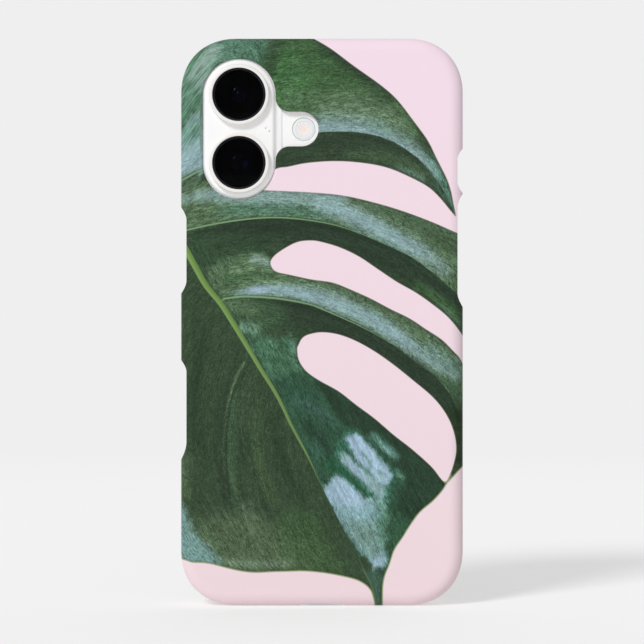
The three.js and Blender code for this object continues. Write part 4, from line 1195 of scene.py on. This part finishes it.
# %% [markdown]
# ## Lenses
# Each lens stands in a turned metal ring. A flat cover glass closes the ring, and under it a black
# barrel steps down to a small domed element with a blue coating. Turned parts are made from one
# profile that is carried round the axis, as on a lathe.

# %% A part turned on a lathe
def turned(name, materials, profile, x, z, count=96, slots=None):
    """Profile points are (radius, depth); the axis runs front to back through x, z."""
    part = Patches()
    part.strip([place(circle(max(radius, 0.0), x, z, count), y) for radius, y in profile])
    if slots:
        part.slots = [slots[k // count] for k in range(len(part.slots))]
    return part.piece(name, materials, sharp=35)


def with_rounds(corners, closed=True):
    """A profile from its corners, each (radius, depth, how far it is rounded off)."""
    profile = []
    for k, (radius, y, soft) in enumerate(corners):
        if not soft:
            profile.append((radius, y))
            continue
        here = np.array([radius, y])
        ends = []
        for other in (corners[k - 1], corners[(k + 1) % len(corners)]):
            way = np.array(other[:2]) - here
            ends.append(here + way / np.hypot(*way) * soft)
        for t in np.linspace(0, 1, 5):
            profile.append(tuple((1 - t) ** 2 * ends[0] + 2 * t * (1 - t) * here + t**2 * ends[1]))
    return profile + profile[:1] if closed else profile

# %% Finishes of the lenses
ring_material = new_finish("lens_ring_metal")
solid_finish(srgb(240, 237, 234), 0.38, speckle=0.02, relief=0.02, scale=1500)
black_material = new_finish("black_plastic")
solid_finish(srgb(22, 22, 24), 0.55, speckle=0.2, specular=0.2)

cover_material = new_finish("lens_cover_glass")
dark = node("BsdfTransparent", {"Color": (0.4, 0.4, 0.42, 1)})
gloss = node("BsdfGlossy", {"Color": (0.8, 0.85, 0.95, 1), "Roughness": 0.03})
smear = spread(noise(position(), 220.0, 2), 0.3, 0.7, 0.001, 0.003)
glancing = times(node("Fresnel", {"IOR": 1.1}), 0.6)
surface(node("MixShader", {0: maths("ADD", glancing, smear), 1: dark, 2: gloss}))

coated_material = new_finish("coated_lens")
# Painted reflections: a soft blue reflection on each lens element and a small white highlight dot on the
# upper one are painted into the lens colour.
PAINTED_LENS_REFLECTIONS = [  # right and up of the axis, width, height, lens, tone
    (2.0, -0.6, 1.3, 2.1, LENS_Z[1], (80, 92, 150)),
    (1.2, -0.3, 1.2, 1.6, LENS_Z[0], (30, 34, 62)),
    (-0.35, 0.55, 0.3, 0.3, LENS_Z[0], (235, 238, 245)),
]
blue = mix(noise(position(), 300.0, 2), srgb(12, 14, 30), srgb(18, 20, 48))
for right, up, wide, tall, z, tone in PAINTED_LENS_REFLECTIONS:
    reflection_spot = spread(distance_from(LENS_X + right, z + up, wide, tall), 0.4, 1, 1, 0)
    blue = mix(reflection_spot, blue, srgb(*tone))
principled({"Base Color": blue, "Roughness": 0.12, "Specular IOR Level": 0.5, "Coat Weight": 0.3,
            "Coat Tint": (0.3, 0.4, 1, 1)})

# %% Rings, cover glasses, barrels and front elements
ring_low, ring_high = box_mm("lens_ring_upper")
RING_TOP = ring_low[1]
RING_OUTER = (ring_high[0] - ring_low[0]) / 2
RING_INNER = 7.1
NECK = RING_HOLE - 0.1
FLANGE_Y = ISLAND_TOP - 0.02
RING_END = -1.85
SEAT_Y = RING_TOP + 0.75
COVER_RADIUS = RING_INNER - 0.04
ELEMENT_Y = -3.6
RING = with_rounds([
    (RING_INNER, RING_TOP, 0.1), (RING_OUTER, RING_TOP, 0.45), (RING_OUTER, FLANGE_Y, 0),
    (NECK, FLANGE_Y, 0), (NECK, RING_END, 0.1), (RING_INNER - 0.6, RING_END, 0.1),
    (RING_INNER - 0.6, SEAT_Y, 0), (RING_INNER, SEAT_Y, 0)])
COVER = with_rounds([(0, RING_TOP + 0.1, 0), (COVER_RADIUS, RING_TOP + 0.1, 0.12),
                     (COVER_RADIUS, RING_TOP + 0.7, 0.1), (0, RING_TOP + 0.7, 0)], closed=False)
BARREL = [
    (0, -3.55), (2.5, -3.55), (2.9, -3.75), (3.4, -3.8), (3.5, -4.0), (4.2, -4.15), (4.3, -4.4),
    (5.1, -4.5), (5.2, -4.75), (6.35, -4.95), (6.42, -4.85), (6.42, -0.6), (7.2, -0.6), (7.2, 2.5),
    (0, 2.5),
]
ELEMENT = [(2.45 * math.sin(a), ELEMENT_Y - 0.8 * max(math.cos(a), 0) ** 0.8)
           for a in np.linspace(0, math.pi / 2, 14)] + [(0, ELEMENT_Y)]
for name, z in zip(("upper", "lower"), LENS_Z):
    ring = turned("ring_" + name, [ring_material], RING, LENS_X, z)
    cover = turned("cover_" + name, [cover_material], COVER, LENS_X, z)
    barrel = turned("barrel_" + name, [black_material], BARREL, LENS_X, z)
    dome = turned("element_" + name, [coated_material], ELEMENT, LENS_X, z)
    for piece, node_name, slot in ((ring, "lens_ring_", "lens_ring"), (cover, "lens_cover_", "lens_glass"),
                                   (barrel, "camera_module_", "black_plastic"),
                                   (dome, "lens_element_", "coated_lens")):
        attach(piece, PHONE)
        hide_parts(node_name + name)

# %% [markdown]
# ## Flash and microphone
# The flash is a moulded diffuser with fine rings over a small light source with a warm phosphor.
# The microphone hides behind two tiny slots.

# %% Flash diffuser and its light source
flash_material = new_finish("flash_diffuser")
out_from = distance_from(FLASH_X, FLASH_Z)
ring_wave = maths("SINE", times(out_from, 9.0))
tone = mix(spread(out_from, 1.2, 2.9), srgb(246, 236, 236), srgb(226, 234, 236))
# Painted highlight: the crests of the fine rings are mixed towards white, along the same wave that gives
# them their bump.
tone = mix(spread(ring_wave, -1, 1, 0.0, 0.35), tone, srgb(252, 250, 250))
tone = mix(spread(out_from, 0.2, 0.9, 0.75, 0.0), tone, srgb(255, 226, 196))
principled({"Base Color": tone, "Roughness": 0.25, "Specular IOR Level": 0.4,
            "Normal": bump(ring_wave, 0.35, 0.00006)})
DIFFUSER_END = -1.9
diffuser = [(radius, GLASS_BACK_Y + 0.02 + y) for radius, y in (
    (0, 0.3), (0.5, 0.28), (0.9, 0.3), (1.0, 0.2), (1.5, 0.22), (1.6, 0.12), (2.1, 0.14),
    (2.2, 0.04), (2.75, 0.03), (2.95, 0.1), (FLASH_RADIUS - 0.06, 0.25))]
diffuser += [(FLASH_RADIUS - 0.06, DIFFUSER_END), (0, DIFFUSER_END)]
window = turned("flash_diffuser", [flash_material], diffuser, FLASH_X, FLASH_Z)
phosphor_material = new_finish("led_phosphor")
solid_finish(srgb(236, 196, 84), 0.6, speckle=0.1)


def block(name, material, box, soft):
    """A box with softened edges, sizes in millimetres."""
    low, high = box
    work = bmesh.new()
    bmesh.ops.create_cube(work, size=1.0)
    for v in work.verts:
        v.co = Vector((np.array(v.co) * (high - low) + (high + low) / 2) * MM)
    bmesh.ops.bevel(work, geom=list(work.edges), offset=soft * MM, segments=3, affect="EDGES", profile=0.5)
    mesh = bpy.data.meshes.new(name)
    work.to_mesh(mesh)
    work.free()
    shade(mesh, [max(abs(part) for part in face.normal) < 0.9999 for face in mesh.polygons], 40)
    mesh.materials.append(material)
    return add_object(name, mesh)


led = block("flash_led_chip", phosphor_material, box_mm("flash_led"), 0.12)
for piece, node_name, slot in ((window, "flash_window", "flash_diffuser"),
                               (led, "flash_led", "led_phosphor")):
    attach(piece, PHONE)
    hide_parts(node_name)

# %% Microphone plug with two small slots
PLUG_RADIUS = MIC_RADIUS - 0.01
plug = turned("microphone_plug", [milky_material], [
    (0, ISLAND_TOP + 0.02), (PLUG_RADIUS, ISLAND_TOP + 0.02), (PLUG_RADIUS, ISLAND_TOP + 0.6),
    (0, ISLAND_TOP + 0.6)], MIC_X, MIC_Z, 40)
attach(plug, PHONE)
mesh_material = new_finish("microphone_mesh")
solid_finish(srgb(200, 198, 196), 0.6, speckle=0.15, scale=4000)
dot_profile = with_rounds([(0, ISLAND_TOP, 0), (0.26, ISLAND_TOP, 0.05), (0.26, ISLAND_TOP + 0.3, 0),
                           (0, ISLAND_TOP + 0.3, 0)], closed=False)
for n, (dx, dz) in enumerate(((-0.5, 0.4), (0.5, -0.4))):
    dot = turned(f"microphone_dot_{n}", [mesh_material], dot_profile, MIC_X + dx, MIC_Z + dz, 24)
    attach(dot, PHONE)

# %% [markdown]
# ## Buttons
# The buttons are anodised pills with a softly crowned face. Each one is its own piece and rides its
# own joint, so a press pushes it into the frame. Inside, a flange keeps it from falling out.

# %% Metal finishes
metal_material = new_finish("frame_metal")
blast = noise(position(), 5200.0, 3, 0.6)
principled({"Base Color": mix(blast, srgb(226, 224, 222), srgb(240, 238, 236)), "Metallic": 0.75,
            "Roughness": spread(blast, 0.3, 0.7, 0.34, 0.44), "Normal": bump(blast, 0.12, 0.00003)})
steel_material = new_finish("steel")
brushed = noise(stretched(position(), (1, 1, 0.04)), 2600.0, 3, 0.65)
principled({"Base Color": mix(brushed, srgb(150, 152, 156), srgb(196, 198, 202)), "Metallic": 1.0,
            "Roughness": spread(brushed, 0.3, 0.7, 0.26, 0.4), "Normal": bump(brushed, 0.1, 0.00002)})

# %% Crowned button caps
def facing_side(side):
    return lambda flat, x: np.column_stack([np.full(len(flat), side * x), flat])


def facing_down(flat, z):
    return np.column_stack([flat, np.full(len(flat), z)])


def layered(name, material, rows, set_at):
    """Outlines stacked at the given depths and closed at both ends."""
    part = Patches()
    part.strip([set_at(flat, depth) for flat, depth in rows])
    for flat, depth in (rows[0], rows[-1]):
        points, faces = sheet_between(flat, [], 0)
        part.add(set_at(points, depth), faces)
    return part.piece(name, [material], sharp=35)


FLANGE = 0.6
CROWN = [(0.0, -3.2), (0.0, -0.32), (0.04, -0.16), (0.12, -0.07), (0.26, -0.02), (0.5, 0)]
DISH = [(0.55, -0.02), (0.9, -0.03)]  # the camera control is pressed in a little at its middle
for name in ("side_button", "camera_control", "action_button", "volume_up_button", "volume_down_button"):
    low, high = box_mm(name)
    side = 1 if high[0] > 0 else -1
    face = max(abs(low[0]), abs(high[0]))
    _, y, z = middle_mm(name)
    half_width, half_length = (high[1] - low[1]) / 2, (high[2] - low[2]) / 2 - FLANGE
    rows = [(pill(half_width - inset, half_length - inset, y, z, 20), face + out)
            for inset, out in CROWN + (DISH if name == "camera_control" else [])]
    button = layered(name + "_cap", metal_material, rows, facing_side(side))
    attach(button, name)
    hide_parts(name)

# %% [markdown]
# ## The port, its tongue and the screws
# The port is a drawn steel tube with rounded ends. A thin tongue stands in the middle of it with
# twelve contacts on each side. A screw with a five-lobed recess sits left and right of the port.

# %% Port tube and tongue
usb_low, usb_high = box_mm("usb_receptacle")
usb_x, usb_y, _ = middle_mm("usb_receptacle")
usb_half, usb_tall, _ = (usb_high - usb_low) / 2
tube = [(0.3, usb_high[2] - 0.3), (0.3, usb_low[2] + 0.3), (0.2, usb_low[2] + 0.05), (0.1, usb_low[2]),
        (0.0, usb_low[2] + 0.1), (0.0, usb_high[2])]
port = layered("port_tube", steel_material, [
    (pill(usb_half - inset, usb_tall - inset, usb_x, usb_y, 24), z) for inset, z in tube], facing_down)
tongue_low, tongue_high = box_mm("usb_tongue")
tongue = block("port_tongue", black_material, (tongue_low, tongue_high), 0.2)
for piece, node_name, slot in ((port, "usb_receptacle", "steel"), (tongue, "usb_tongue", "black_plastic")):
    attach(piece, PHONE)
    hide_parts(node_name)
contact_material = new_finish("gold_contact")
solid_finish(srgb(214, 176, 96), 0.25, metallic=1.0, speckle=0.06, scale=3000)
CONTACTS = 12
CONTACT_PITCH = 0.5
BOX_FACES = [(0, 1, 3, 2), (4, 6, 7, 5), (0, 4, 5, 1), (2, 3, 7, 6), (0, 2, 6, 4), (1, 5, 7, 3)]
contacts = Patches()
for k in range(CONTACTS):
    x = (k - (CONTACTS - 1) / 2) * CONTACT_PITCH
    for y0, y1 in ((tongue_low[1] - 0.03, tongue_low[1] + 0.05),
                   (tongue_high[1] - 0.05, tongue_high[1] + 0.03)):
        contacts.add([(a, b, c) for a in (x - 0.13, x + 0.13) for b in (y0, y1)
                      for c in (tongue_low[2] + 0.4, tongue_low[2] + 3.6)], BOX_FACES)
strip = contacts.piece("port_contacts", [contact_material], sharp=30)
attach(strip, PHONE)

# %% Screws with a five-lobed recess
def lobed(radius, x, y):
    """The outline of the driver's recess."""
    turn = np.linspace(0, 2 * math.pi, 60, endpoint=False)
    around = radius * (1 + 0.16 * np.cos(5 * turn))
    return np.column_stack([x + around * np.cos(turn), y + around * np.sin(turn)])


for side in ("left", "right"):
    low, high = box_mm("bottom_screw_" + side)
    x, y, _ = middle_mm("bottom_screw_" + side)
    radius = (high[0] - low[0]) / 2
    rows = [(lobed(0.36, x, y), low[2] + 0.55), (lobed(0.38, x, y), low[2] + 0.04)]
    rows += [(circle(wide, x, y, 60), z) for wide, z in (
        (0.55, low[2]), (radius - 0.12, low[2] + 0.02), (radius, low[2] + 0.12), (radius, low[2] + 0.9),
        (0.5, low[2] + 1.0), (0.5, high[2]))]
    screw = layered("screw_" + side, steel_material, rows, facing_down)
    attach(screw, PHONE)
    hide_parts("bottom_screw_" + side)

# %% [markdown]
# ## The screen
# The front glass is flat with softened edges and a thin slot for the earpiece. The display under it
# is dark when it is off: nearly black, a little blue, with a black ink border round it.

# %% Front glass
SLOT_CLEAR = 0.05
SCREEN_ROUND = 0.2
ear_low, ear_high = box_mm("earpiece_mesh")
ear_z = middle_mm("earpiece_mesh")[2]
slot_line = pill(ear_high[0] + SLOT_CLEAR, (ear_high[2] - ear_low[2]) / 2 + SLOT_CLEAR, 0.0, ear_z, 8)
edge = glass_edge(SCREEN_Y, screen_low[1], SCREEN_ROUND)
screen_glass = Patches()
screen_glass.strip(edge)
screen_glass.fill(edge[0][:, [0, 2]], [slot_line], 0, SCREEN_Y)
screen_glass.fill(edge[-1][:, [0, 2]], [slot_line], 0, screen_low[1])
screen_glass.tunnel(slot_line, SCREEN_Y, screen_low[1])
screen_material = new_finish("cover_glass")
clear = node("BsdfTransparent", {"Color": (0.94, 0.95, 0.95, 1)})
shine = node("BsdfGlossy", {"Color": WHITE, "Roughness": 0.02})
oil = spread(noise(position(), 60.0, 3), 0.35, 0.65, 0.0, 0.012)
surface(node("MixShader", {0: maths("ADD", node("Fresnel", {"IOR": 1.45}), oil), 1: clear, 2: shine}))
front = screen_glass.piece("front_glass_sheet", [screen_material], sharp=50)
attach(front, PHONE)
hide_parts("front_glass")

# %% Earpiece plate with its row of holes
plate = np.array([(-ear_high[0], ear_low[2]), (ear_high[0], ear_low[2]), (ear_high[0], ear_high[2]),
                  (-ear_high[0], ear_high[2])])
ear_holes = [circle(0.11, x, ear_z, 10) for x in np.arange(-6.65, 6.7, 0.35)]
ear_plate = Patches()
for y in (ear_low[1], ear_high[1]):
    ear_plate.fill(plate, ear_holes, 0, y)
for loop in [plate] + ear_holes:
    ear_plate.tunnel(loop, ear_low[1], ear_high[1])
dark_mesh_material = new_finish("dark_mesh")
solid_finish(srgb(44, 44, 46), 0.45, metallic=0.6, speckle=0.2, scale=3000)
grille = ear_plate.piece("earpiece_plate", [dark_mesh_material])
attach(grille, PHONE)
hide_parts("earpiece_mesh")

# %% Front camera behind the glass
low, high = box_mm("front_camera")
x, _, z = middle_mm("front_camera")
radius = (high[0] - low[0]) / 2
eye = turned("front_camera_barrel", [black_material, coated_material], [
    (0, low[1]), (radius, low[1]), (radius, high[1]), (1.1, high[1]), (1.0, high[1] - 0.3),
    (0.7, high[1] - 0.35), (0.66, high[1] - 0.22), (0.4, high[1] - 0.1), (0, high[1] - 0.06)],
    x, z, 48, slots=[0, 0, 0, 0, 0, 0, 1, 1, 1])
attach(eye, PHONE)
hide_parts("front_camera")

# %% [markdown]
# ## What lies inside
# The inner parts stay as the frame has them and only get their finishes: foil on the battery, a
# board with tracks and pads, pressed steel cans, a copper coil and sintered magnets.

# %% Finishes of the inner parts
display_material = new_finish("display")
cells = node("TexVoronoi", {"Vector": position(), "Scale": 9000.0}, feature="DISTANCE_TO_EDGE")
principled({"Base Color": mix(spread(cells, 0.0, 0.3), srgb(8, 9, 12), srgb(10, 11, 14)),
            "Roughness": 0.2, "Specular IOR Level": 0.1})

ink_material = new_finish("black_ink")
solid_finish(srgb(9, 9, 10), 0.3, speckle=0.2, scale=4000)
resin_material = new_finish("break_resin")
solid_finish(srgb(226, 224, 222), 0.5, speckle=0.03)

board_material = new_finish("circuit_board")
parts = node("SeparateXYZ", {0: position()}, None)
tracks = node("TexBrick", {
    "Vector": node("CombineXYZ", {0: parts["X"], 1: parts["Z"]}), "Scale": 620.0, "Mortar Size": 0.03,
    "Color1": (0.010, 0.030, 0.020, 1), "Color2": (0.014, 0.042, 0.026, 1),
    "Mortar": (0.10, 0.12, 0.06, 1)}, None)
pads = spread(node("TexVoronoi", {"Vector": position(), "Scale": 1400.0}, "Distance"), 0.12, 0.16, 1.0, 0.0)
principled({"Base Color": mix(pads, tracks["Color"], srgb(196, 160, 92)), "Roughness": 0.35,
            "Metallic": pads, "Normal": bump(tracks["Fac"], 0.2, 0.00004)})

foil_material = new_finish("battery_wrap")
crumple = noise(position(), 160.0, 4, 0.6)
weave = node("TexWave", {"Vector": position(), "Scale": 900.0, "Distortion": 2.0}, "Fac")
foil_height = maths("ADD", crumple, times(weave, 0.15))
principled({"Base Color": mix(crumple, srgb(34, 35, 38), srgb(52, 53, 57)), "Metallic": 0.3,
            "Roughness": spread(crumple, 0.3, 0.7, 0.3, 0.5), "Normal": bump(foil_height, 0.3, 0.0001)})

coil_material = new_finish("coil_wire")
WIRE_PITCH = 0.6
coil_x, _, coil_z = middle_mm("charging_coil")
# Painted shade and highlight: the copper is darker in the grooves between the turns and lighter on their
# crests, following the bump.
turns = maths("SINE", times(distance_from(coil_x, coil_z), 2 * math.pi / WIRE_PITCH))
principled({"Base Color": mix(spread(turns, -1, 1), srgb(112, 60, 34), srgb(206, 122, 78)),
            "Metallic": 1.0, "Roughness": 0.3, "Normal": bump(turns, 0.6, 0.0001)})

# %% Put the finishes on the carried-over parts
FINISHES = {
    "frame_metal": metal_material, "steel": steel_material, "black_plastic": black_material,
    "black_ink": ink_material, "display": display_material, "break_resin": resin_material,
    "circuit_board": board_material, "battery_wrap": foil_material, "coil_wire": coil_material,
    "back_glass": milky_material, "cover_glass": screen_material, "dark_mesh": dark_mesh_material,
    "lens_ring": ring_material, "lens_glass": cover_material, "coated_lens": coated_material,
    "flash_diffuser": flash_material, "led_phosphor": phosphor_material, "printed_shell": shell_material,
}
for carried in nodes.values():
    for held in carried.material_slots:
        held.material = FINISHES[held.material.name.split(".")[0]]
print("finishes:", len(FINISHES))
